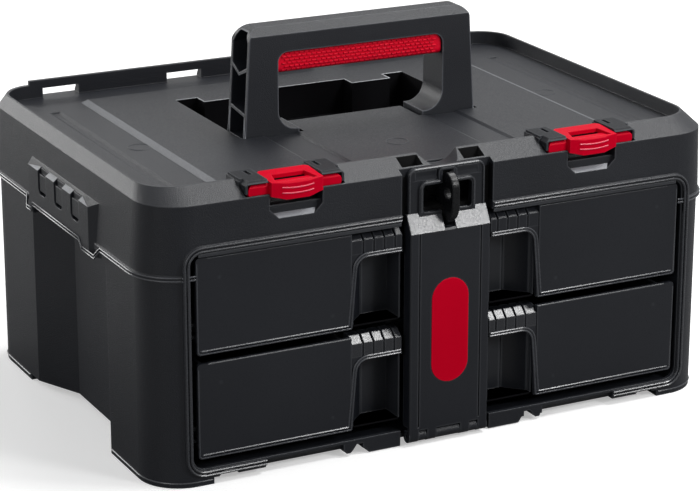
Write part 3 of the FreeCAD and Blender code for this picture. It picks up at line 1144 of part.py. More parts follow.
def latch(side):
    """A tipping latch: a bowed face, a plate with a finger scoop, and arms."""
    x, wide = side * LATCH_X, LATCH_BODY
    low, high = LATCH_Z - LATCH_FOOT, LATCH_Z + LATCH_TAIL_RISE
    near, far = LATCH_BACK - LATCH_FRONT, LATCH_BACK + LATCH_TAIL
    plan = [(x - wide, near + LATCH_BOW), (x - LATCH_FLAT, near), (x + LATCH_FLAT, near)]
    plan += [(x + wide, near + LATCH_BOW), (x + wide, far - LATCH_TAIL_CUT), (x + wide - LATCH_TAIL_CUT, far)]
    plan += [(x - wide + LATCH_TAIL_CUT, far), (x - wide, far - LATCH_TAIL_CUT)]
    body = plan_shape(plan, low, high)
    view = [(x - wide, high), (x - wide, low + LATCH_FOOT_BOW), (x - LATCH_FLAT, low), (x + LATCH_FLAT, low)]
    view += [(x + wide, low + LATCH_FOOT_BOW), (x + wide, high)]
    body = body.common(front_shape(view, near, far))
    head = LATCH_Z + LATCH_HEAD
    core = LATCH_BACK + LATCH_CORE
    side_view = [(near, low), (near, head - LATCH_EDGE), (near + LATCH_EDGE, head), (far, high)]
    side_view += [(far, high - LATCH_PLATE), (core, LATCH_Z + LATCH_SHOULDER), (core, LATCH_Z - LATCH_KNEE)]
    side_view += [(LATCH_BACK - LATCH_TOE, low)]
    body = body.common(side_shape(side_view, x - wide, x + wide))
    back, narrow = LATCH_BACK + SCOOP_FAR, SCOOP_HALF - SCOOP_LEAN
    scoop = [(x - SCOOP_HALF, LATCH_BACK - SCOOP_NEAR), (x + SCOOP_HALF, LATCH_BACK - SCOOP_NEAR)]
    scoop += [(x + narrow, back), (x - narrow, back)]
    body = body.cut(plan_shape(scoop, LATCH_Z + SCOOP_FLOOR, high + OVERRUN))
    arms = rod(x - LATCH_ARM, x + LATCH_ARM, LATCH_BACK, LATCH_Z, LATCH_ARM_R)
    z0, z1 = LATCH_Z - LATCH_ARM_HALF, LATCH_Z + LATCH_ARM_HALF
    front, end = LATCH_BACK - LATCH_ARM_FRONT, LATCH_BACK + LATCH_ARM_R
    arms = arms.common(rounded_front(x - LATCH_ARM, x + LATCH_ARM, z0, z1, front, end, LATCH_ARM_END))
    return one(body.fuse(arms).cut(latch_pin(side, LATCH_PIN_R + PIN_RUN)))


def latch_pin(side, r):
    x = side * LATCH_X
    return rod(x - CAP_OUT, x + CAP_OUT, LATCH_BACK, LATCH_Z, r)


def latch_caps(side):
    """The hoods over the latch's arms, which hold the ends of its pin."""
    made = []
    inner = LATCH_Z + LATCH_ARM_R + LATCH_PLAY
    low, top = LATCH_Z - CAP_SKIRT, CAP_TOP_Z
    near, far = LATCH_BACK - CAP_REACH, LAND_FRONT + CAP_LONG
    for s in (-1, 1):
        x = side * LATCH_X
        arch = [(x + s * CAP_IN, inner), (x + s * (CAP_CHEEK - CAP_FILLET), inner)]
        arch += [(x + s * CAP_CHEEK, inner - CAP_FILLET)]
        arch += [(x + s * CAP_CHEEK, low), (x + s * CAP_OUT, low), (x + s * CAP_OUT, top - CAP_BEND)]
        arch += [(x + s * (CAP_OUT - CAP_BEND), top), (x + s * CAP_IN, top)]
        x0, x1 = sorted((x + s * CAP_IN, x + s * CAP_OUT))
        plate = box(x0, x1, LAND_FRONT, far, RIM_Z, top)
        edge = [(near, low), (near, top - CAP_EDGE), (near + CAP_EDGE, top), (far, top), (far, low)]
        cap = front_shape(arch, near, LAND_FRONT).fuse(plate).common(side_shape(edge, x0, x1))
        a, b = sorted((x + s * (CAP_IN + CAP_SLOT_IN), x + s * (CAP_IN + CAP_SLOT_IN + CAP_SLOT_W)))
        end = far - CAP_SLOT_END
        cap = cap.cut(box(a, b, end - CAP_SLOT_LONG, end, RIM_Z, top))
        made.append(cap.cut(latch_pin(side, LATCH_PIN_R)))
    return all_of(made)


def cover_screws():
    made = []
    for side in (-1, 1):
        for back in COVER_SCREW_BACKS:
            shank = screw_rod(at(side * COVER_SCREW_X, back, COVER_SCREW_Z), Z, SCREW_LONG, SCREW_R)
            head = screw_rod(at(side * COVER_SCREW_X, back, COVER_SCREW_Z), -Z, SCREW_HEAD, SCREW_HEAD_R)
            made.append(shank.fuse(head))
    return all_of(made)


def rail_screws():
    made = []
    for back, z in rail_screw_places():
        start = at(OPEN_SIDE - RAIL_WEB, back, z)
        shank = screw_rod(start, X, RAIL_WEB + SMALL_SCREW_BITE, SMALL_SCREW_R)
        screw = shank.fuse(screw_rod(start, -X, SMALL_HEAD, SMALL_HEAD_R))
        made += [screw, mirrored(screw)]
    return all_of(made)


def hinge_pin():
    return rod(-HINGE_PIN_HALF, HINGE_PIN_HALF, HINGE_BACK, HINGE_Z, HINGE_PIN_R)


def handle_pin():
    return rod(PIN_IN, PIN_OUT, PIVOT_BACK, PIVOT_Z, PIN_R)


NODES = {
    "lower_housing": lower_housing(),
    "top_cover": top_cover(),
    "rail_right_lower": rail(0),
    "rail_right_upper": rail(PITCH),
    "rail_left_lower": one(mirrored(rail(0))),
    "rail_left_upper": one(mirrored(rail(PITCH))),
    "drawer_tray_lower": drawer_tray(0),
    "drawer_tray_upper": drawer_tray(PITCH),
    "drawer_front_lower": drawer_front(0),
    "drawer_front_upper": drawer_front(PITCH),
    "front_screws_lower": front_screws(0),
    "front_screws_upper": front_screws(PITCH),
    "handle_frame": handle_frame(),
    "handle_grip": handle_grip(),
    "handle_pin_right": handle_pin(),
    "handle_pin_left": one(mirrored(handle_pin())),
    "latch_right": latch(1),
    "latch_left": latch(-1),
    "latch_pin_right": latch_pin(1, LATCH_PIN_R),
    "latch_pin_left": latch_pin(-1, LATCH_PIN_R),
    "latch_caps_right": latch_caps(1),
    "latch_caps_left": latch_caps(-1),
    "front_flap": front_flap(),
    "flap_inlay": one(pill(PILL_THICK)),
    "flap_hinge_pin": hinge_pin(),
    "padlock_eye": padlock_eye(),
    "cover_screws": cover_screws(),
    "rail_screws": rail_screws(),
}

os.makedirs("parts", exist_ok=True)
for name, shape in NODES.items():
    shape.exportStep(f"parts/{name}.step")
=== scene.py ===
"""Looks of the portable tool box with two drawers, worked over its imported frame.

X runs to the right seen from the front, the front faces -Y and Z is up. Sizes are written in
millimetres and turned to metres where a mesh is made. A place is (x, behind, z), where behind is
how far it lies behind the flat front of the box.
"""
import math

import bmesh
import bpy
from mathutils import Matrix, Vector


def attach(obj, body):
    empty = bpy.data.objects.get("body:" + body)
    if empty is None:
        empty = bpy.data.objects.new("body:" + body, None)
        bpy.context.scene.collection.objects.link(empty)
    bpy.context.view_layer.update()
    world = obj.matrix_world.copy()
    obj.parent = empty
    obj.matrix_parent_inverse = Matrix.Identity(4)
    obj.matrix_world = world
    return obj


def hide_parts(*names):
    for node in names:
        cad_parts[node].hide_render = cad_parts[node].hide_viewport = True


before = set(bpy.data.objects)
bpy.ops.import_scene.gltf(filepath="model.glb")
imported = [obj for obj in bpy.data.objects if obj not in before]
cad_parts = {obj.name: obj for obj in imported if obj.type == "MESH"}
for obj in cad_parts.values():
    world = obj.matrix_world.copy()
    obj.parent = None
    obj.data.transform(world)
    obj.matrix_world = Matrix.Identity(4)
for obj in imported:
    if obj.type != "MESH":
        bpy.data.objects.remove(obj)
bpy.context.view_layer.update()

MM = 0.001
FRONT = -165.25  # the flat front of the box
WELD = 0.001 * MM  # points closer than this are one


def linear(code):
    """The linear colour of an sRGB hex value, with full alpha."""
    channels = [int(code[i:i + 2], 16) / 255 for i in (1, 3, 5)]
    return [c / 12.92 if c <= 0.04045 else ((c + 0.055) / 1.055) ** 2.4 for c in channels] + [1.0]


def node(material, kind, settings=None, **links):
    """Adds a node; settings hold its properties and fixed inputs, links the sockets that feed it.

    A link named i0, i1 and so on goes to the input of that number.
    """
    new = material.node_tree.nodes.new(kind)
    for key, value in (settings or {}).items():
        if isinstance(key, int) or key in new.inputs:
            new.inputs[key].default_value = value
        else:
            setattr(new, key, value)
    for key, socket in links.items():
        plug = int(key[1:]) if key[0] == "i" and key[1:].isdigit() else key.replace("_", " ")
        material.node_tree.links.new(socket, new.inputs[plug])
    return new


def blank(name):
    """A material with an empty node tree."""
    material = bpy.data.materials.new(name)
    material.use_nodes = True
    material.node_tree.nodes.clear()
    return material


# Moulded plastics

POLYMER_IOR = 1.49
TONE_PATCH = 90.0 * MM  # cloudiness of the masterbatch in a big moulding
TONE_SHARES = (0.35, 0.7)  # the part of the noise over which the shade turns pale
EDGE_HIGHLIGHT_REACH = 1.3 * MM  # how far the painted highlight of an edge reaches
EDGE_HIGHLIGHT_SHARES = (0.95, 0.55)  # openness at which an edge's painted highlight starts, and is at full strength
PIT_SHARES = (0.3, 0.7)  # the part of the grain that turns from smooth to rough
GLOSS_DRIFT = 0.1  # how much the grain changes the roughness
GRAIN_BUMP = 0.6
EDGE_SAMPLES = 6
GRAIN = 0.8 * MM  # a real spark-eroded grain is near 0.2 mm and would not show at this size
FINE_GRAIN = 0.8 * GRAIN
COARSE_GRAIN = 1.5 * GRAIN
# colour of the painted shade in places that no light reaches
PAINTED_SHADE = "#030304"


def within(m, place, low, high):
    """1 inside a box from low to high, its x mirrored left and right, else 0."""
    split = node(m, "ShaderNodeSeparateXYZ", None, Vector=place).outputs
    across = node(m, "ShaderNodeMath", {"operation": "ABSOLUTE"}, i0=split["X"]).outputs["Value"]
    share = None
    for axis, shift, start, end in zip((across, split["Y"], split["Z"]), (0.0, FRONT, 0.0), low, high):
        for test, limit in (("GREATER_THAN", start), ("LESS_THAN", end)):
            settings = {"operation": test, 1: (shift + limit) * MM}
            passed = node(m, "ShaderNodeMath", settings, i0=axis).outputs["Value"]
            if share is None:
                share = passed
            else:
                both = node(m, "ShaderNodeMath", {"operation": "MULTIPLY"}, i0=share, i1=passed)
                share = both.outputs["Value"]
    return share


def moulded(name, shade, pale, edge_highlight, roughness, grain, depth, edge, specular, painted_shade_boxes=()):
    """A moulded plastic: its shade drifts, its grain breaks the gloss, its edges are round and carry a
    painted highlight.

    The boxes given last get painted shade: there the colour turns nearly black, as where no light reaches.
    """
    m = blank(name)
    place = node(m, "ShaderNodeTexCoord").outputs["Object"]
    cloud = node(m, "ShaderNodeTexNoise", {"Scale": 1 / TONE_PATCH, "Detail": 3.0}, Vector=place)
    tone = node(m, "ShaderNodeValToRGB", None, Fac=cloud.outputs["Fac"])
    for stop, position, colour in zip(tone.color_ramp.elements, TONE_SHARES, (shade, pale)):
        stop.position = position
        stop.color = linear(colour)
    # Painted highlight: convex edges, found by rays cast inward, turn towards the paler edge colour
    inward = node(
        m, "ShaderNodeAmbientOcclusion",
        {"inside": True, "only_local": True, "samples": EDGE_SAMPLES, "Distance": EDGE_HIGHLIGHT_REACH},
    )
    edge_highlight_share = node(
        m, "ShaderNodeMapRange",
        {"From Min": EDGE_HIGHLIGHT_SHARES[0], "From Max": EDGE_HIGHLIGHT_SHARES[1], "To Min": 0.0, "To Max": 1.0},
        Value=inward.outputs["AO"],
    )
    skin = node(
        m, "ShaderNodeMix", {"data_type": "RGBA", 7: linear(edge_highlight)},
        i0=edge_highlight_share.outputs["Result"], i6=tone.outputs["Color"],
    ).outputs[2]
    pits = node(
        m, "ShaderNodeTexNoise", {"Scale": 1 / grain, "Detail": 2.0, "Roughness": 0.6}, Vector=place,
    ).outputs["Fac"]
    dull = node(
        m, "ShaderNodeMapRange",
        {
            "From Min": PIT_SHARES[0], "From Max": PIT_SHARES[1],
            "To Min": roughness - GLOSS_DRIFT, "To Max": roughness + GLOSS_DRIFT,
        },
        Value=pits,
    ).outputs["Result"]
    # Painted shade: inside each box the colour turns nearly black and the gloss goes dead
    for low, high in painted_shade_boxes:
        mask = within(m, place, low, high)
        skin = node(m, "ShaderNodeMix", {"data_type": "RGBA", 7: linear(PAINTED_SHADE)}, i0=mask, i6=skin).outputs[2]
        dull = node(m, "ShaderNodeMath", {"operation": "MAXIMUM"}, i0=dull, i1=mask).outputs["Value"]
    rounded = node(m, "ShaderNodeBevel", {"Radius": edge, "samples": EDGE_SAMPLES})
    bump = node(
        m, "ShaderNodeBump", {"Strength": GRAIN_BUMP, "Distance": depth},
        Height=pits, Normal=rounded.outputs["Normal"],
    )
    shader = node(
        m, "ShaderNodeBsdfPrincipled", {"IOR": POLYMER_IOR, "Specular IOR Level": specular},
        Base_Color=skin, Roughness=dull, Normal=bump.outputs["Normal"],
    )
    node(m, "ShaderNodeOutputMaterial", None, Surface=shader.outputs["BSDF"])
    return m


# Housing, rails and trays: a dry dark grey whose grain sparkles faintly on the faces turned to the light
charcoal = moulded(
    "charcoal polypropylene, moulded spark-eroded", "#17191E", "#1D1F24", "#3A3C40",
    roughness=0.42, grain=GRAIN, depth=0.45 * MM, edge=0.9 * MM, specular=0.33)
# Cover: the same skin, with painted shade making the handle's well and the flap's channel nearly black
charcoal_cover = moulded(
    "charcoal polypropylene, moulded spark-eroded cover", "#17191E", "#1D1F24", "#3A3C40",
    roughness=0.42, grain=GRAIN, depth=0.45 * MM, edge=0.9 * MM, specular=0.33,
    painted_shade_boxes=(
        ((0.0, 136.0, 150.0), (104.5, 270.0, 211.6)),  # the handle's well
        ((17.2, 7.0, 150.0), (34.8, 17.3, 226.0)),  # the small windows beside the channel
        ((0.0, 3.0, 150.0), (38.6, 21.0, 210.0)),  # the flap's channel
    ))
# Handle: the same skin with a brighter painted highlight along its edges
charcoal_handle = moulded(
    "charcoal polypropylene, moulded spark-eroded handle", "#17191E", "#1D1F24", "#5C5E64",
    roughness=0.42, grain=GRAIN, depth=0.45 * MM, edge=0.9 * MM, specular=0.33)
# Drawer fronts and flap: smoother and a little glossier, so they read as calm dark panels
charcoal_satin = moulded(
    "charcoal polypropylene, moulded satin", "#17191E", "#1B1D22", "#3A3C40",
    roughness=0.36, grain=FINE_GRAIN, depth=0.06 * MM, edge=0.7 * MM, specular=0.33)
# Corners of the drawer fronts: the panels' satin without any edge, so no border shows on them
charcoal_flush = moulded(
    "charcoal polypropylene, moulded flush satin", "#17191E", "#1B1D22", "#1B1D22",
    roughness=0.36, grain=FINE_GRAIN, depth=0.06 * MM, edge=0.02 * MM, specular=0.33)
# Beads: burnished ridges that draw thin bright lines round the mouldings
charcoal_polished = moulded(
    "charcoal polypropylene, moulded polished bead", "#141619", "#191B1F", "#3C3E43",
    roughness=0.25, grain=GRAIN, depth=0.04 * MM, edge=0.3 * MM, specular=0.6)
# Flap ledge and lower pulling lips: thumbed smooth, they flash pale where they face the lamp
charcoal_ledge = moulded(
    "charcoal polypropylene, moulded and thumbed smooth", "#17191E", "#1D1F24", "#3A3C40",
    roughness=0.29, grain=GRAIN, depth=0.05 * MM, edge=0.6 * MM, specular=0.6)
# Latch hoods: flat and dark, with hardly any shine
charcoal_dull = moulded(
    "charcoal polyamide, moulded fine matt", "#131519", "#191B1F", "#3A3C40",
    roughness=0.55, grain=GRAIN, depth=0.1 * MM, edge=0.6 * MM, specular=0.16)
# Bands on the lid: a coarser grain in a paler colour, a painted highlight that shows as a light stripe
coarse_painted_highlight = moulded(
    "charcoal polypropylene, moulded coarse spark-eroded", "#36383C", "#4A4C50", "#505256",
    roughness=0.45, grain=COARSE_GRAIN, depth=0.7 * MM, edge=0.3 * MM, specular=0.5)
# Caps of the side pads and sills under the latches: a pale grey, painted highlight on faces that turn up to
# the light
painted_highlight_grey = moulded(
    "charcoal polypropylene, painted highlight grey", "#505358", "#5C5F64", "#8A8D92",
    roughness=0.36, grain=GRAIN, depth=0.4 * MM, edge=0.6 * MM, specular=0.5)
# Ends of the handle and brim of the well: pale thin lines, a painted highlight along their edges
painted_edge_line = moulded(
    "charcoal polypropylene, painted highlight line", "#75787D", "#82858A", "#9A9DA2",
    roughness=0.3, grain=GRAIN, depth=0.02 * MM, edge=0.2 * MM, specular=0.6)
# Painted shade: black without shine on floors and sheets in gaps and hollows, so they read as shadow
shadow_black = moulded(
    "black painted shade, dead matt", "#060607", "#08080A", "#0C0C0E",
    roughness=0.7, grain=GRAIN, depth=0.05 * MM, edge=0.3 * MM, specular=0.05)
# Latches and inlay: a clear deep red that stays red in its highlights
red = moulded(
    "red polypropylene, moulded satin", "#B8001E", "#C20022", "#CC0A2A",
    roughness=0.34, grain=FINE_GRAIN, depth=0.04 * MM, edge=1.0 * MM, specular=0.03)
# Ridges of the latches: polished crests, painted paler than the latch as a highlight
red_ridge_highlight = moulded(
    "red polypropylene, moulded ridge, painted highlight", "#D02C46", "#D8344E", "#E04A62",
    roughness=0.25, grain=FINE_GRAIN, depth=0.02 * MM, edge=0.3 * MM, specular=0.5)
# Grip: a soft warm red that glows a little where its bricks turn up
red_soft = moulded(
    "red thermoplastic elastomer, overmoulded", "#D80026", "#E2002A", "#D00026",
    roughness=0.42, grain=FINE_GRAIN, depth=0.05 * MM, edge=0.4 * MM, specular=0.2)
# Padlock eye: a near-black pebbled coat with small soft highlights, built up as the plastics are
EYE_PEBBLE = 2.4 * MM  # drawn coarse enough to show at this size
eye_steel = moulded(
    "black-coated cast steel, pebbled", "#0A0B0D", "#0E0F12", "#16171B",
    roughness=0.3, grain=EYE_PEBBLE, depth=0.4 * MM, edge=0.8 * MM, specular=0.24)

# Metals

METAL_GLOSS_DRIFT = 0.08
PLATING_BLOTCH = 0.8 * MM  # coarse enough to show at this size, as the next one is
DRAWN_STREAK = 0.6 * MM


def metal(name, shade, roughness, grain):
    """A drawn or plated steel with a faint uneven finish."""
    m = blank(name)
    place = node(m, "ShaderNodeTexCoord").outputs["Object"]
    smear = node(m, "ShaderNodeTexNoise", {"Scale": 1 / grain, "Detail": 3.0}, Vector=place)
    gloss = node(
        m, "ShaderNodeMapRange",
        {"To Min": roughness - METAL_GLOSS_DRIFT, "To Max": roughness + METAL_GLOSS_DRIFT},
        Value=smear.outputs["Fac"],
    )
    shader = node(
        m, "ShaderNodeBsdfPrincipled", {"Base Color": linear(shade), "Metallic": 1.0},
        Roughness=gloss.outputs["Result"],
    )
    node(m, "ShaderNodeOutputMaterial", None, Surface=shader.outputs["BSDF"])
    return m


# Screws: a pale cold shine, blotched by the plating
zinc = metal("zinc-plated steel, rolled thread", "#B9BCC0", roughness=0.35, grain=PLATING_BLOTCH)
# Hinge pins: dark steel with a dim drawn shine
pin_steel = metal("blackened steel pin, drawn", "#3A3B3E", roughness=0.4, grain=DRAWN_STREAK)

FINISHES = {
    "lower_housing": charcoal,
    "top_cover": charcoal_cover,
    "handle_frame": charcoal_handle,
    "handle_grip": red_soft,
    "front_flap": charcoal_satin,
    "flap_inlay": red,
    "latch_right": red,
    "latch_left": red,
    "latch_caps_right": charcoal_dull,
    "latch_caps_left": charcoal_dull,
}
for name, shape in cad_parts.items():
    finish = FINISHES.get(name)
    if finish is None:
        finish = charcoal_satin if name.startswith("drawer_front") else charcoal
        if "screws" in name:
            finish = zinc
        if "pin" in name:
            finish = pin_steel
    shape.data.materials.clear()
    shape.data.materials.append(finish)

# Tools for the pieces that the solids leave to the scene

SHARP_TURN = math.radians(30)  # an edge that turns more is rounded
SMOOTH_TURN = math.radians(50)  # an edge that turns less is shaded smooth
PITCH = 80.0  # lower drawer to upper drawer
LEVELS = (("lower", 0.0), ("upper", PITCH))
SIDES = (("right", 1), ("left", -1))


def spot(x, behind, z):
    """A place of the box, in metres."""
    return Vector((x, FRONT + behind, z)) * MM


def span(side, inner, outer):
    """The lower and upper x of what reaches from inner to outer on one side."""
    return sorted((side * inner, side * outer))


VIEWS = {
    "side": lambda a, b, c: spot(c, a, b),
    "front": lambda a, b, c: spot(a, c, b),
    "plan": lambda a, b, c: spot(a, b, c),
}


def pushed(mesh, outline, view, start, end):
    """Extrudes an outline: (behind, z) in a side view, (x, z) in a front view, (x, behind) in a plan."""
    place = VIEWS[view]
    face = mesh.faces.new([mesh.verts.new(place(a, b, start)) for a, b in outline])
    grown = bmesh.ops.extrude_face_region(mesh, geom=[face])["geom"]
    far = [v for v in grown if isinstance(v, bmesh.types.BMVert)]
    bmesh.ops.translate(mesh, verts=far, vec=place(0, 0, end) - place(0, 0, start))


def piece(name, mesh, finish, body, round_edge=0.0, smooth=False):
    """Closes a mesh, rounds its sharp edges and hands it to a body as a piece of its own."""
    bmesh.ops.remove_doubles(mesh, verts=mesh.verts, dist=WELD)
    bmesh.ops.recalc_face_normals(mesh, faces=mesh.faces)
    if round_edge:
        sharp = [e for e in mesh.edges if len(e.link_faces) == 2 and e.calc_face_angle() > SHARP_TURN]
        bmesh.ops.bevel(
            mesh, geom=sharp, offset=round_edge * MM, segments=2, affect="EDGES", profile=0.5, material=-1,
            clamp_overlap=True,
        )
    data = bpy.data.meshes.new(name)
    mesh.to_mesh(data)
    mesh.free()
    data.materials.append(finish)
    if smooth:
        data.shade_smooth()
        data.set_sharp_from_angle(angle=SMOOTH_TURN)
    made = bpy.data.objects.new(name, data)
    bpy.context.scene.collection.objects.link(made)
    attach(made, body)
    return made


def arc(x, z, radius, start, end, steps=6):
    """Points on an arc round (x, z), from start to end in degrees."""
    turns = [math.radians(start + (end - start) * k / steps) for k in range(steps + 1)]
    return [(x + radius * math.cos(turn), z + radius * math.sin(turn)) for turn in turns]


def plan_corner(side, half, flat, radius, way):
    """Points (x, behind) round a corner of a plan: way -1 leaves a flat front, way 1 meets a flat back."""
    start, end = (90, 0) if way < 0 else (0, 90)
    bend = arc(half - radius, 0.0, radius, start, end, steps=8)
    return [(side * x, flat - way * radius + way * rise) for x, rise in bend]


def beads(name, paths, radius, finish, body):
    """Round beads of one radius along paths of places, as one piece."""
    line = bpy.data.curves.new(name + "_line", "CURVE")
    line.dimensions = "3D"
    line.bevel_depth = radius * MM
    line.bevel_resolution = 1
    line.use_fill_caps = True
    for path in paths:
        spline = line.splines.new("POLY")
        spline.points.add(len(path) - 1)
        for point, place in zip(spline.points, path):
            point.co = (*spot(*place), 1.0)
    holder = bpy.data.objects.new(name + "_line", line)
    mesh = bmesh.new()
    mesh.from_mesh(bpy.data.meshes.new_from_object(holder))
    bpy.data.objects.remove(holder)
    return piece(name, mesh, finish, body, smooth=True)


# Finger pockets: a shallow scoop behind each end of the pulling lips, over a floor painted black as shade

POCKET_EDGE = 76.4  # outer end of the pocket
POCKET_INNER = 38.6  # inner end, beside the flap
POCKET_FRONT = 3.6
POCKET_BACK = 23.0
POCKET_CURVE = 17.0  # radius of the outer end
POCKET_FLOOR_Z = 22.6
POCKET_ROOF_Z = 79.0
POCKET_WALL = 1.2
POCKET_BED = 1.4  # thickness of the floor
bend_x, bend_back = POCKET_EDGE - POCKET_CURVE, POCKET_BACK - POCKET_CURVE
wall_inner, wall_outer = POCKET_INNER - POCKET_WALL, POCKET_EDGE + POCKET_WALL
wall_back = POCKET_BACK + POCKET_WALL
line = [(POCKET_EDGE, POCKET_FRONT)] + arc(bend_x, bend_back, POCKET_CURVE, 0, 90, steps=8)
line += [(POCKET_INNER, POCKET_BACK), (POCKET_INNER, POCKET_FRONT)]
outer = [(wall_inner, POCKET_FRONT), (wall_inner, wall_back), (bend_x, wall_back)]
outer += [(wall_outer, bend_back), (wall_outer, POCKET_FRONT)]
for level, lift in LEVELS:
    for side_name, side in SIDES:
        scoop = bmesh.new()
        wall = [(side * x, b) for x, b in line + outer]
        pushed(scoop, wall, "plan", POCKET_FLOOR_Z + lift, POCKET_ROOF_Z + lift)
        piece(f"pocket_scoop_{level}_{side_name}", scoop, charcoal_satin, f"{level}_drawer", smooth=True)
        bed = bmesh.new()
        floor_line = [(side * x, b) for x, b in line]
        pushed(bed, floor_line, "plan", POCKET_FLOOR_Z - POCKET_BED + lift, POCKET_FLOOR_Z + lift)
        piece(f"pocket_floor_{level}_{side_name}", bed, shadow_black, f"{level}_drawer")

# Ribbed caps of the pulling lips, with a steep top facet

LIP_FACE = 0.75
LIP_BACK = 13.8
LIP_ROOT = 2.4  # back of the rib's foot
LIP_LOW_Z = 77.4
LIP_BREAK_Z = 88.4
LIP_TOP_Z = 93.9
LIP_RUN = 6.0  # depth of the steep facet
LIP_PLATE = 1.2
LIP_ROUND = 0.35
LIP_RIBS = ((37.8, 42.9), (44.1, 51.6), (52.8, 60.3), (61.5, 69.0), (70.2, 79.2))  # from x to x
LIP_FINISH = {"lower": charcoal_ledge, "upper": charcoal_satin}
for level, lift in LEVELS:
    facet = [(LIP_FACE, LIP_LOW_Z), (LIP_FACE, LIP_BREAK_Z), (LIP_FACE + LIP_RUN, LIP_TOP_Z)]
    facet += [(LIP_BACK, LIP_TOP_Z), (LIP_BACK, LIP_TOP_Z - LIP_PLATE), (LIP_ROOT, LIP_LOW_Z)]
    ribs = bmesh.new()
    for side in (-1, 1):
        for inner, outer in LIP_RIBS:
            pushed(ribs, [(b, z + lift) for b, z in facet], "side", *span(side, inner, outer))
    piece(f"lip_ribs_{level}", ribs, LIP_FINISH[level], f"{level}_drawer", LIP_ROUND)

# Soft brick pattern on both faces of the grip

GRIP_FRONT = 140.9
GRIP_MIDDLE = 155.0  # the back face is the front face mirrored here
GRIP_LOW_Z = 262.6
GRIP_REACH = 68.0
GRIP_ROWS = 6
LOW_ROW_BACK = 1.2  # the lowest row lies on the grip's curve
ROW_PITCH = 2.55
BRICK_PITCH = 4.2
BRICK_ROOT = 0.5  # how far a brick reaches into the grip
BRICK_PROUD = 1.0
BRICK_FOOT = 0.5  # rise of its lower slope
BRICK_BROW = 1.1  # from its crest's top to the next row
BRICK_JOINT = 0.5  # from its root's top to the next row
BRICK_GAP = 0.4
bricks = bmesh.new()
for row in range(GRIP_ROWS):
    z = GRIP_LOW_Z + ROW_PITCH * row
    start = -GRIP_REACH + (BRICK_PITCH / 2 if row % 2 else 0.0)
    behind = GRIP_FRONT + (LOW_ROW_BACK if row == 0 else 0.0)
    for k in range(int((GRIP_REACH - start) / BRICK_PITCH)):
        x = start + BRICK_PITCH * k
        for way, face in ((-1, behind), (1, 2 * GRIP_MIDDLE - behind)):
            root, crest = face - way * BRICK_ROOT, face + way * BRICK_PROUD
            outline = [(root, z), (crest, z + BRICK_FOOT)]
            outline += [(crest, z + ROW_PITCH - BRICK_BROW), (root, z + ROW_PITCH - BRICK_JOINT)]
            pushed(bricks, outline, "side", x + BRICK_GAP, x + BRICK_PITCH - BRICK_GAP)
piece("grip_bricks", bricks, red_soft, "handle")

# Double bead round the drawer opening, left out at the flap's channel and along the middle of the foot

OPEN_HALF = 207.5
OPEN_LOW_Z = 13.0
OPEN_TOP_Z = 177.0
OPEN_R = 9.0
OPEN_BEADS = (2.2, 4.9)  # how far outside the opening each bead runs
OPEN_BEAD_R = 0.95
OPEN_BEAD_FACE = -1.5  # middle of the beads, just proud of the frame's face
CHANNEL_SIDE = 39.0
SILL_END = 150.0
frame_paths = []
for grow in OPEN_BEADS:
    middle = OPEN_HALF - OPEN_R
    line = [(-SILL_END, OPEN_LOW_Z - grow)]
    line += arc(-middle, OPEN_LOW_Z + OPEN_R, OPEN_R + grow, 270, 180)
    line += arc(-middle, OPEN_TOP_Z - OPEN_R, OPEN_R + grow, 180, 90)
    line += [(-CHANNEL_SIDE, OPEN_TOP_Z + grow)]
    for side in (-1, 1):
        frame_paths.append([(-side * x, OPEN_BEAD_FACE, z) for x, z in line])
beads("opening_bead", frame_paths, OPEN_BEAD_R, charcoal_polished, "case")

# Covers over the joint of cover and housing beside the opening

JOINT_COVER = (208.9, 213.6)  # from x to x
JOINT_COVER_SIDE = [(0.4, 150.0), (0.4, 168.0), (-1.5, 166.5), (-1.5, 151.5)]
joint_covers = bmesh.new()
for side in (-1, 1):
    pushed(joint_covers, JOINT_COVER_SIDE, "side", *span(side, *JOINT_COVER))
piece("opening_joint_covers", joint_covers, charcoal, "case")

# Drip edge over the drawers

DRIP_REACH = 201.5
DRIP_SIDE = [(0.2, 174.5), (0.2, 177.6), (-0.9, 177.6), (-0.9, 175.1), (-0.4, 174.5)]
DRIP_ROUND = 0.3
drip = bmesh.new()
for side in (-1, 1):
    pushed(drip, DRIP_SIDE, "side", *span(side, CHANNEL_SIDE, DRIP_REACH))
piece("opening_drip", drip, charcoal, "case", DRIP_ROUND)

# Drawer fronts: square corners, a double bead at the foot and round the finger pockets

PANEL_HALF = 203.3
PANEL_LOW_Z = 20.7
PANEL_TOP_Z = 94.0
CORNER = 8.5
CORNER_CUT = 2.0  # the corner's point is cut off by a short slope
CORNER_NIP = 0.6
FILLER_FACE = -0.04  # a hair proud of the panel
FILLER_BACK = 3.2
MOUTH_HALF = 79.0
MOUTH_LEAN = 4.0
MOUTH_TALL = 54.3
MOUTH_R = 9.0
MOUTH_START = 4  # degrees at which the leaning side meets the roof's arc
MOUTH_END = 38.4  # the roof's beads end beside the flap
FRONT_BEAD_R = 0.8
RIM_IN = 0.7  # outer bead, inside the panel's edge
RIM_CUT = 2.4
RIM_TOP = 4.0  # the outer bead stops this far under the panel's top
INNER_IN = 3.2  # inner bead, inside the panel's edge
INNER_UP = 3.1
MOUTH_BEADS = ((0.8, RIM_IN), (3.0, INNER_UP))  # how far outside the pocket, and how high each starts
RIM_FACE, INNER_FACE, MOUTH_FACE = 0.3, 0.1, 0.2
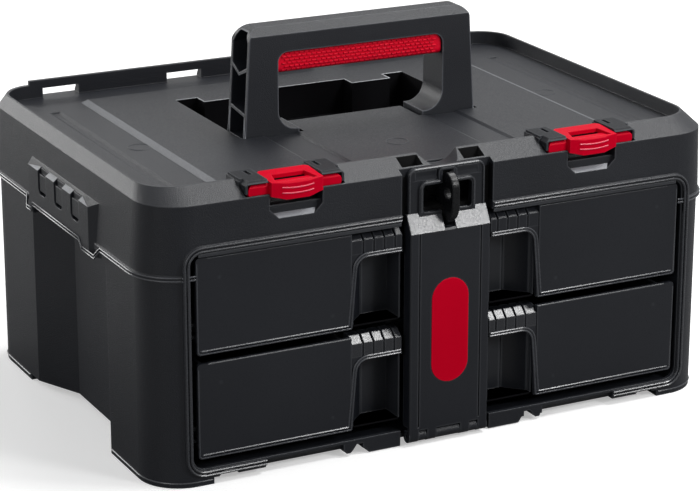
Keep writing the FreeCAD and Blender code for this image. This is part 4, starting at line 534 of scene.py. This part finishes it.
for level, lift in LEVELS:
    low, top = PANEL_LOW_Z + lift, PANEL_TOP_Z + lift
    roof = low + MOUTH_TALL
    fillers = bmesh.new()
    foot = []
    for side in (-1, 1):
        edge = side * PANEL_HALF
        for z, way in ((low, 1), (top, -1)):
            square = [(edge - side * CORNER, z), (edge - side * CORNER_CUT, z)]
            square += [(edge - side * CORNER_NIP, z + way * CORNER_NIP), (edge, z + way * CORNER_CUT)]
            square += [(edge, z + way * CORNER), (edge - side * CORNER, z + way * CORNER)]
            pushed(fillers, square, "front", FILLER_FACE, FILLER_BACK)
        rim_end, inner_end = [side * (MOUTH_HALF + grow) for grow, rise in MOUTH_BEADS]
        rim = [(edge - side * RIM_IN, top - RIM_TOP), (edge - side * RIM_IN, low + RIM_CUT)]
        rim += [(edge - side * RIM_CUT, low + RIM_IN), (rim_end, low + RIM_IN)]
        inner = [(edge - side * INNER_IN, low + INNER_UP), (inner_end, low + INNER_UP)]
        foot.append([(x, RIM_FACE, z) for x, z in rim])
        foot.append([(x, INNER_FACE, z) for x, z in inner])
        for grow, rise in MOUTH_BEADS:
            middle = MOUTH_HALF - MOUTH_LEAN - MOUTH_R
            outline = [(MOUTH_HALF + grow, low + rise)]
            outline += arc(middle, roof - MOUTH_R, MOUTH_R + grow, MOUTH_START, 90)
            outline += [(MOUTH_END, roof + grow)]
            foot.append([(side * x, MOUTH_FACE, z) for x, z in outline])
    piece(f"front_corners_{level}", fillers, charcoal_flush, f"{level}_drawer")
    beads(f"front_beads_{level}", foot, FRONT_BEAD_R, charcoal_polished, f"{level}_drawer")

# Double bead at the cover's foot, which dips round the feet of the side pads

COVER_HALF = 240.5
COVER_R = 36.5
COVER_FRONT = -1.0
COVER_BACK = 343.5
SEAM_Z = 158.0
SEAM_BEADS = (0.9, 3.4)  # how high over the seam each bead runs
SEAM_BEAD_R = 0.75
SEAM_START = 214.5
PAD_FACE = 243.2
PAD_FOOT = (  # x, behind, and how far the beads dip
    (COVER_HALF, 89.0, 0.0), (PAD_FACE, 94.5, -6.6), (PAD_FACE, 119.0, -6.6), (PAD_FACE, 124.0, -1.2),
    (PAD_FACE, 222.0, -1.2), (PAD_FACE, 225.5, -6.6), (PAD_FACE, 235.5, -6.6), (COVER_HALF, 241.0, 0.0),
)
seam = []
for rise in SEAM_BEADS:
    z = SEAM_Z + rise
    for side in (-1, 1):
        front = [(side * SEAM_START, COVER_FRONT)] + plan_corner(side, COVER_HALF, COVER_FRONT, COVER_R, -1)
        rear = plan_corner(side, COVER_HALF, COVER_BACK, COVER_R, 1) + [(0.0, COVER_BACK)]
        route = [(x, b, z) for x, b in front]
        route += [(side * x, b, z + dip) for x, b, dip in PAD_FOOT]
        route += [(x, b, z) for x, b in rear]
        seam.append(route)
beads("cover_foot_bead", seam, SEAM_BEAD_R, charcoal_polished, "case")

# Line above the ground round the corner feet, left out at the hand recesses

HOUSING_HALF = 237.0
HOUSING_R = 33.0
HOUSING_BACK = 340.0
FOOT_LINE_Z = 3.6
FOOT_LINE_R = 0.8
FOOT_START = 193.0
RECESS_NEAR = 85.0
RECESS_FAR = 259.0
ground = []
for side in (-1, 1):
    front = [(side * FOOT_START, 0.0)] + plan_corner(side, HOUSING_HALF, 0.0, HOUSING_R, -1)
    front += [(side * HOUSING_HALF, RECESS_NEAR)]
    rear = [(side * HOUSING_HALF, RECESS_FAR)] + plan_corner(side, HOUSING_HALF, HOUSING_BACK, HOUSING_R, 1)
    rear += [(side * FOOT_START, HOUSING_BACK)]
    for line in (front, rear):
        ground.append([(x, b, FOOT_LINE_Z) for x, b in line])
beads("foot_line", ground, FOOT_LINE_R, charcoal_polished, "case")

# Webs between the ribs of the side pads

PAD_SLOTS = (132.0, 166.2, 200.4)  # middles of the slots between the ribs
SLOT_HALF = 8.5
WEB_GAP = 1.6
WEB_ROOT = 238.8
WEB_STEPS = ((173.4, 187.0, 242.2), (187.0, 191.5, 240.6))  # from z to z, and the face's x
WEB_ROUND = 0.35
for side_name, side in SIDES:
    webs = bmesh.new()
    for middle in PAD_SLOTS:
        near, far = middle - SLOT_HALF, middle + SLOT_HALF - WEB_GAP
        for z0, z1, face in WEB_STEPS:
            outline = [(near, z0), (far, z0), (far, z1), (near, z1)]
            pushed(webs, outline, "side", *span(side, WEB_ROOT, face))
    piece(f"pad_webs_{side_name}", webs, charcoal, "case", WEB_ROUND)

# Flap: raised rim of its upper plate

FLAP_RIM_HALF = 31.1
FLAP_RIM_TOP = 215.1
FLAP_RIM_CORNER = 5.2
FLAP_RIM_FACE = 1.8
FLAP_RIM_R = 0.95
FLAP_LEDGE_Z = 182.4
middle, shoulder = FLAP_RIM_HALF - FLAP_RIM_CORNER, FLAP_RIM_TOP - FLAP_RIM_CORNER
rim_path = [(-FLAP_RIM_HALF, FLAP_LEDGE_Z)] + arc(-middle, shoulder, FLAP_RIM_CORNER, 180, 90)
rim_path += arc(middle, shoulder, FLAP_RIM_CORNER, 90, 0) + [(FLAP_RIM_HALF, FLAP_LEDGE_Z)]
beads("flap_rim_bead", [[(x, FLAP_RIM_FACE, z) for x, z in rim_path]], FLAP_RIM_R, charcoal_polished, "flap")

# Flap: wire-like rib round the window, open in the middle for the padlock fin

WINDOW_RIB_HALF = 22.0
WINDOW_RIB_TOP = 204.5
WINDOW_RIB_CORNER = 3.4
WINDOW_RIB_END = 6.2
WINDOW_RIB_FACE = 0.2
WINDOW_RIB_R = 1.0
middle, shoulder = WINDOW_RIB_HALF - WINDOW_RIB_CORNER, WINDOW_RIB_TOP - WINDOW_RIB_CORNER
rib = [(WINDOW_RIB_HALF, FLAP_LEDGE_Z)] + arc(middle, shoulder, WINDOW_RIB_CORNER, 0, 90)
rib += [(WINDOW_RIB_END, WINDOW_RIB_TOP)]
wire = [[(side * x, WINDOW_RIB_FACE, z) for x, z in rib] for side in (-1, 1)]
beads("window_rib_wire", wire, WINDOW_RIB_R, charcoal_polished, "flap")

# Flap: hollowed pull band over the window, and the face of its ledge

FLAP_STRIPS = (  # piece, (behind, z) outline, from x to x, finish, rounding
    ("flap_pull_band", [(3.8, 206.2), (1.95, 206.2), (2.3, 210.0), (1.95, 213.9), (3.8, 213.9)],
     (8.4, 29.0), charcoal_satin, 0.15),
    ("flap_ledge_face", [(-5.55, 168.0), (-5.8, 168.2), (1.7, 182.2), (2.1, 182.2), (2.1, 181.6)],
     (4.8, 33.3), charcoal_ledge, 0.12),
)
for name, outline, across, finish, rounding in FLAP_STRIPS:
    strip = bmesh.new()
    for side in (-1, 1):
        pushed(strip, outline, "side", *span(side, *across))
    piece(name, strip, finish, "flap", rounding)

# Painted shade: black sheets on the side walls of the flap's channel

CHANNEL_SHADE_SPAN = (37.7, 38.2)  # from x to x
CHANNEL_WALL = [(1.2, 184.4), (19.6, 184.4), (19.6, 211.6), (1.2, 211.6)]
channel_shade = bmesh.new()
for side in (-1, 1):
    pushed(channel_shade, CHANNEL_WALL, "side", *span(side, *CHANNEL_SHADE_SPAN))
piece("channel_painted_shade", channel_shade, shadow_black, "case")

# Linings laid over faces of the cover's own mesh

LINING = 0.1 * MM  # how far a sheet is lifted off the cover, and its thickness


def merged(node_name):
    """A copy of a node's mesh with its doubled points merged."""
    mesh = bmesh.new()
    mesh.from_mesh(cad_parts[node_name].data)
    bmesh.ops.remove_doubles(mesh, verts=mesh.verts, dist=WELD)
    mesh.normal_update()
    return mesh


def lifted(low, high, chosen):
    """The cover's faces that lie in a box from low to high and that a test picks, lifted off the cover."""
    low_corner, high_corner = spot(*low), spot(*high)
    mesh = merged("top_cover")
    outside = []
    for face in mesh.faces:
        inside = all(low_corner[i] < v.co[i] < high_corner[i] for v in face.verts for i in range(3))
        if not (inside and chosen(face)):
            outside.append(face)
    bmesh.ops.delete(mesh, geom=outside, context="FACES")
    mesh.normal_update()
    for v in mesh.verts:
        v.co += v.normal * LINING
    return mesh


def laid(name, mesh, finish):
    """Gives lifted faces their thickness and hands them to the case."""
    bmesh.ops.solidify(mesh, geom=mesh.faces[:], thickness=LINING)
    piece(name, mesh, finish, "case")


def path_along(edge):
    """The two places that an edge joins."""
    return [(v.co.x / MM, v.co.y / MM - FRONT, v.co.z / MM) for v in edge.verts]


# Painted shade: a black sheet over the walls and floor of the handle's well

WELL_LOW, WELL_HIGH = (-104.5, 136.0, 150.0), (104.5, 270.0, 214.1)
WELL_FLAT = 0.5  # a face turned up more than this is a floor
WELL_FLOOR_Z = 205.0  # a floor higher than this is the lid's own
BRIM_Z = 211.4  # the brim is what is higher and farther back than these
BRIM_BACK = 215.0
well_shade = lifted(
    WELL_LOW, WELL_HIGH,
    lambda face: face.normal.z < WELL_FLAT or face.calc_center_median().z < WELL_FLOOR_Z * MM)
brim_start = spot(0.0, BRIM_BACK, BRIM_Z)
brim = [
    path_along(e) for e in well_shade.edges
    if e.is_boundary and all(v.co.z > brim_start.z and v.co.y > brim_start.y for v in e.verts)
]
laid("well_painted_shade", well_shade, shadow_black)

# Painted highlights: pale lines round the hollow ends of the handle, and along the well's brim

END_SKIN = 0.4 * MM  # faces this near to the handle's ends belong to them
END_TURN = 0.99  # and look straight to the side
END_EDGE_R = 0.4
BRIM_R = 0.35
handle_mesh = merged("handle_frame")
reach = max(v.co.x for v in handle_mesh.verts)
ends = {
    f for f in handle_mesh.faces
    if abs(f.normal.x) > END_TURN and abs(f.calc_center_median().x) > reach - END_SKIN
}
edges = [path_along(e) for e in handle_mesh.edges if len([f for f in e.link_faces if f in ends]) == 1]
handle_mesh.free()
beads("handle_end_edges", edges, END_EDGE_R, painted_edge_line, "handle")
beads("well_brim", brim, BRIM_R, painted_edge_line, "case")

# Painted highlights, pale sheets laid on the cover: caps of the side pads' ribs, coarse bands at the foot
# of the lid's raised middle, and sills of the finger scoops under the latches

OVERLAYS = (  # piece, low and high corner on the right, test of the face's normal, finish
    ("pad_caps", (239.0, 94.0, 184.0), (243.6, 236.0, 197.0),
     lambda normal: 0.25 < normal.z < 0.95, painted_highlight_grey),
    ("lid_band", (150.0, 20.0, 211.5), (180.0, 312.0, 214.5),
     lambda normal: 0.2 < abs(normal.x) < 0.5, coarse_painted_highlight),
    ("scoop_sill", (100.0, -1.3, 194.0), (148.0, 4.5, 199.6),
     lambda normal: 0.3 < normal.z < 0.97, painted_highlight_grey),
)
for name, low, high, turned, finish in OVERLAYS:
    for side_name, side in SIDES:
        x0, x1 = span(side, low[0], high[0])
        overlay = lifted((x0, *low[1:]), (x1, *high[1:]), lambda face: turned(face.normal))
        laid(f"{name}_{side_name}", overlay, finish)

# Round gate marks of the lid's mould

GATES = ((0.0, 79.9, 214.0), (-178.6, 159.8, 212.0), (178.6, 159.8, 212.0))
GATE_R = 8.5
GATE_LINE_R = 0.35
rings = [[(px, pb, z) for px, pb in arc(x, behind, GATE_R, 0, 360, steps=32)] for x, behind, z in GATES]
beads("lid_gate_marks", rings, GATE_LINE_R, charcoal, "case")

# Padlock eye: a rounded fin in two halves that meet at the hole, on a plate in the channel's back

FIN_HALF = 3.2
FIN_MIDDLE = -5.0  # how far behind the front the halves meet
FIN_TOP_Z = 211.2
FIN_FOOT_Z = 173.6
FIN_ROUND = 1.3
HOLE_Z, HOLE_R = 196.0, 4.5
NOSE = arc(-1.6, 200.4, 11.3, 100, 180, steps=8) + arc(2.1, 188.0, 15.0, 184, 232, steps=7)
NOSE_CLEAR = 0.2  # points of the nose nearer to the middle are left out
FIN_HEEL = [(-3.2, 173.3), (3.0, 184.6), (20.0, 184.6), (20.0, 206.8), (3.0, 207.8), (-1.6, 211.7)]
FIN_WELD = 0.01 * MM
front_half = [(FIN_MIDDLE, FIN_TOP_Z)] + [p for p in NOSE if p[0] < FIN_MIDDLE - NOSE_CLEAR]
front_half += [(FIN_MIDDLE, FIN_FOOT_Z)] + arc(FIN_MIDDLE, HOLE_Z, HOLE_R, 270, 90, steps=8)
rear_half = [(FIN_MIDDLE, FIN_FOOT_Z)] + FIN_HEEL + [(FIN_MIDDLE, FIN_TOP_Z)]
rear_half += arc(FIN_MIDDLE, HOLE_Z, HOLE_R, 90, -90, steps=8)
fin = bmesh.new()
for outline in (front_half, rear_half):
    fin.faces.new([fin.verts.new(VIEWS["side"](b, z, -FIN_HALF)) for b, z in outline])
bmesh.ops.remove_doubles(fin, verts=fin.verts, dist=FIN_WELD)
grown = bmesh.ops.extrude_face_region(fin, geom=fin.faces[:])["geom"]
far = [v for v in grown if isinstance(v, bmesh.types.BMVert)]
bmesh.ops.translate(fin, verts=far, vec=Vector((2 * FIN_HALF, 0, 0)) * MM)
eye = piece("padlock_fin", fin, eye_steel, "case", FIN_ROUND)
FIN_PLATE_HALF = 12.0
FIN_PLATE_SIDE = [(17.0, 184.6), (20.0, 184.6), (20.0, 206.9), (17.0, 206.9)]
FIN_PLATE_ROUND = 0.4
plate = bmesh.new()
pushed(plate, FIN_PLATE_SIDE, "side", -FIN_PLATE_HALF, FIN_PLATE_HALF)
piece("padlock_fin_base", plate, eye_steel, "case", FIN_PLATE_ROUND)
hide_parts("padlock_eye")

# Two raised ridges on each latch's face, bowed as the face is

LATCH_X = 124.0
RIDGE_HALF = 12.5
RIDGE_R = 0.6
RIDGE_FACE = -3.6
RIDGE_BOW = 0.5  # the ends stand back
RIDGE_SAG = 0.9  # the middle hangs lower
RIDGES_Z = (217.6, 213.6)
RIDGE_STEPS = 4  # from the middle to an end
for side_name, side in SIDES:
    ridges = []
    for z in RIDGES_Z:
        shares = [k / RIDGE_STEPS - 1 for k in range(2 * RIDGE_STEPS + 1)]
        ridges.append([
            (side * LATCH_X + RIDGE_HALF * t, RIDGE_FACE + RIDGE_BOW * t * t, z + RIDGE_SAG * t * t)
            for t in shares
        ])
    beads(f"latch_ridges_{side_name}", ridges, RIDGE_R, red_ridge_highlight, f"{side_name}_latch")

# Floor: a sheet of pale paper, lit a little from within for the camera alone

FLOOR_HALF = 6.0
PAPER_GLOW = 0.4
floor_mesh = bpy.data.meshes.new("studio_floor")
sheet = bmesh.new()
bmesh.ops.create_grid(sheet, x_segments=1, y_segments=1, size=FLOOR_HALF)
sheet.to_mesh(floor_mesh)
sheet.free()
floor = bpy.data.objects.new("studio_floor", floor_mesh)
bpy.context.scene.collection.objects.link(floor)

paper = blank("pale studio paper, matt")
seen = node(paper, "ShaderNodeLightPath").outputs["Is Camera Ray"]
shown = node(
    paper, "ShaderNodeMix", {"data_type": "RGBA", 6: linear("#8C8C8C"), 7: linear("#E6E6E6")}, i0=seen)
matte = node(paper, "ShaderNodeBsdfDiffuse", None, Color=shown.outputs[2])
glow = node(paper, "ShaderNodeMath", {"operation": "MULTIPLY", 1: PAPER_GLOW}, i0=seen)
shine = node(paper, "ShaderNodeEmission", {"Color": linear("#FFFFFF")}, Strength=glow.outputs["Value"])
both = node(paper, "ShaderNodeAddShader", None, i0=matte.outputs["BSDF"], i1=shine.outputs["Emission"])
node(paper, "ShaderNodeOutputMaterial", None, Surface=both.outputs["Shader"])
floor_mesh.materials.append(paper)

# World: white where it is seen, straight or through a gap, dimmer in gloss and faint as fill light

FILL = 0.22
BACKDROP = 1.0
GLOSS_CUT = 0.3
world = bpy.data.worlds.new("studio")
bpy.context.scene.world = world
world.use_nodes = True
world.node_tree.nodes.clear()
path = node(world, "ShaderNodeLightPath").outputs
sight = node(
    world, "ShaderNodeMath", {"operation": "MAXIMUM"},
    i0=path["Is Camera Ray"], i1=path["Is Transmission Ray"],
)
sight = node(
    world, "ShaderNodeMath", {"operation": "MAXIMUM"},
    i0=sight.outputs["Value"], i1=path["Is Glossy Ray"],
)
strength = node(
    world, "ShaderNodeMapRange", {"To Min": FILL, "To Max": BACKDROP}, Value=sight.outputs["Value"])
gloss_share = node(
    world, "ShaderNodeMath", {"operation": "MULTIPLY", 1: GLOSS_CUT}, i0=path["Is Glossy Ray"])
strength = node(
    world, "ShaderNodeMath", {"operation": "SUBTRACT"},
    i0=strength.outputs["Result"], i1=gloss_share.outputs["Value"],
)
sky = node(world, "ShaderNodeBackground", {"Color": linear("#FFFFFF")}, Strength=strength.outputs["Value"])
node(world, "ShaderNodeOutputWorld", None, Surface=sky.outputs["Background"])

# Soft area lamps: name, place and aim in metres, width and height in metres, power in watts

SOFTBOXES = (
    ("overhead_softbox", (0.85, 0.42, 1.95), (0.0, 0.0, 0.15), 1.1, 1.1, 28.0),
    ("rear_softbox", (0.09, 1.91, 1.19), (-0.15, 0.0, 0.2), 0.3, 0.3, 2.5),
    ("rear_left_softbox", (-1.1, 1.85, 0.6), (0.0, 0.0, 0.15), 1.2, 1.0, 21.0),
    ("front_low_softbox", (0.88, -1.58, 1.03), (0.0, 0.0, 0.15), 0.4, 0.4, 14.0),
    ("front_high_softbox", (0.84, -0.72, 1.66), (0.0, -0.1, 0.1), 0.45, 0.45, 17.0),
    ("left_softbox", (-1.9, -1.2, 0.9), (0.0, 0.0, 0.1), 0.8, 0.8, 9.0),
)
for name, place, aim, wide, tall, power in SOFTBOXES:
    lamp = bpy.data.lights.new(name, "AREA")
    lamp.shape = "RECTANGLE"
    lamp.size = wide
    lamp.size_y = tall
    lamp.energy = power
    holder = bpy.data.objects.new(name, lamp)
    turn = (Vector(place) - Vector(aim)).to_track_quat("Z", "Y")
    holder.matrix_world = Matrix.Translation(place) @ turn.to_matrix().to_4x4()
    bpy.context.scene.collection.objects.link(holder)

# Camera at the photograph's angle

CAMERA_PLACE = (-0.89116, -1.75456, 0.75522)
AZIMUTH = math.radians(-27.116)
ELEVATION = math.radians(17.838)
ROLL = math.radians(0.081)
lens = bpy.data.cameras.new("catalogue_camera")
lens.lens = 132.93
lens.sensor_width = 36.0
lens.shift_x = -0.00645
lens.shift_y = -0.02823
camera = bpy.data.objects.new("catalogue_camera", lens)
turned = Matrix.Rotation(AZIMUTH, 4, "Z") @ Matrix.Rotation(math.pi / 2 - ELEVATION, 4, "X")
turned = turned @ Matrix.Rotation(ROLL, 4, "Z")
camera.matrix_world = Matrix.Translation(CAMERA_PLACE) @ turned
bpy.context.scene.collection.objects.link(camera)
bpy.context.scene.camera = camera
bpy.context.scene.view_settings.view_transform = "Standard"
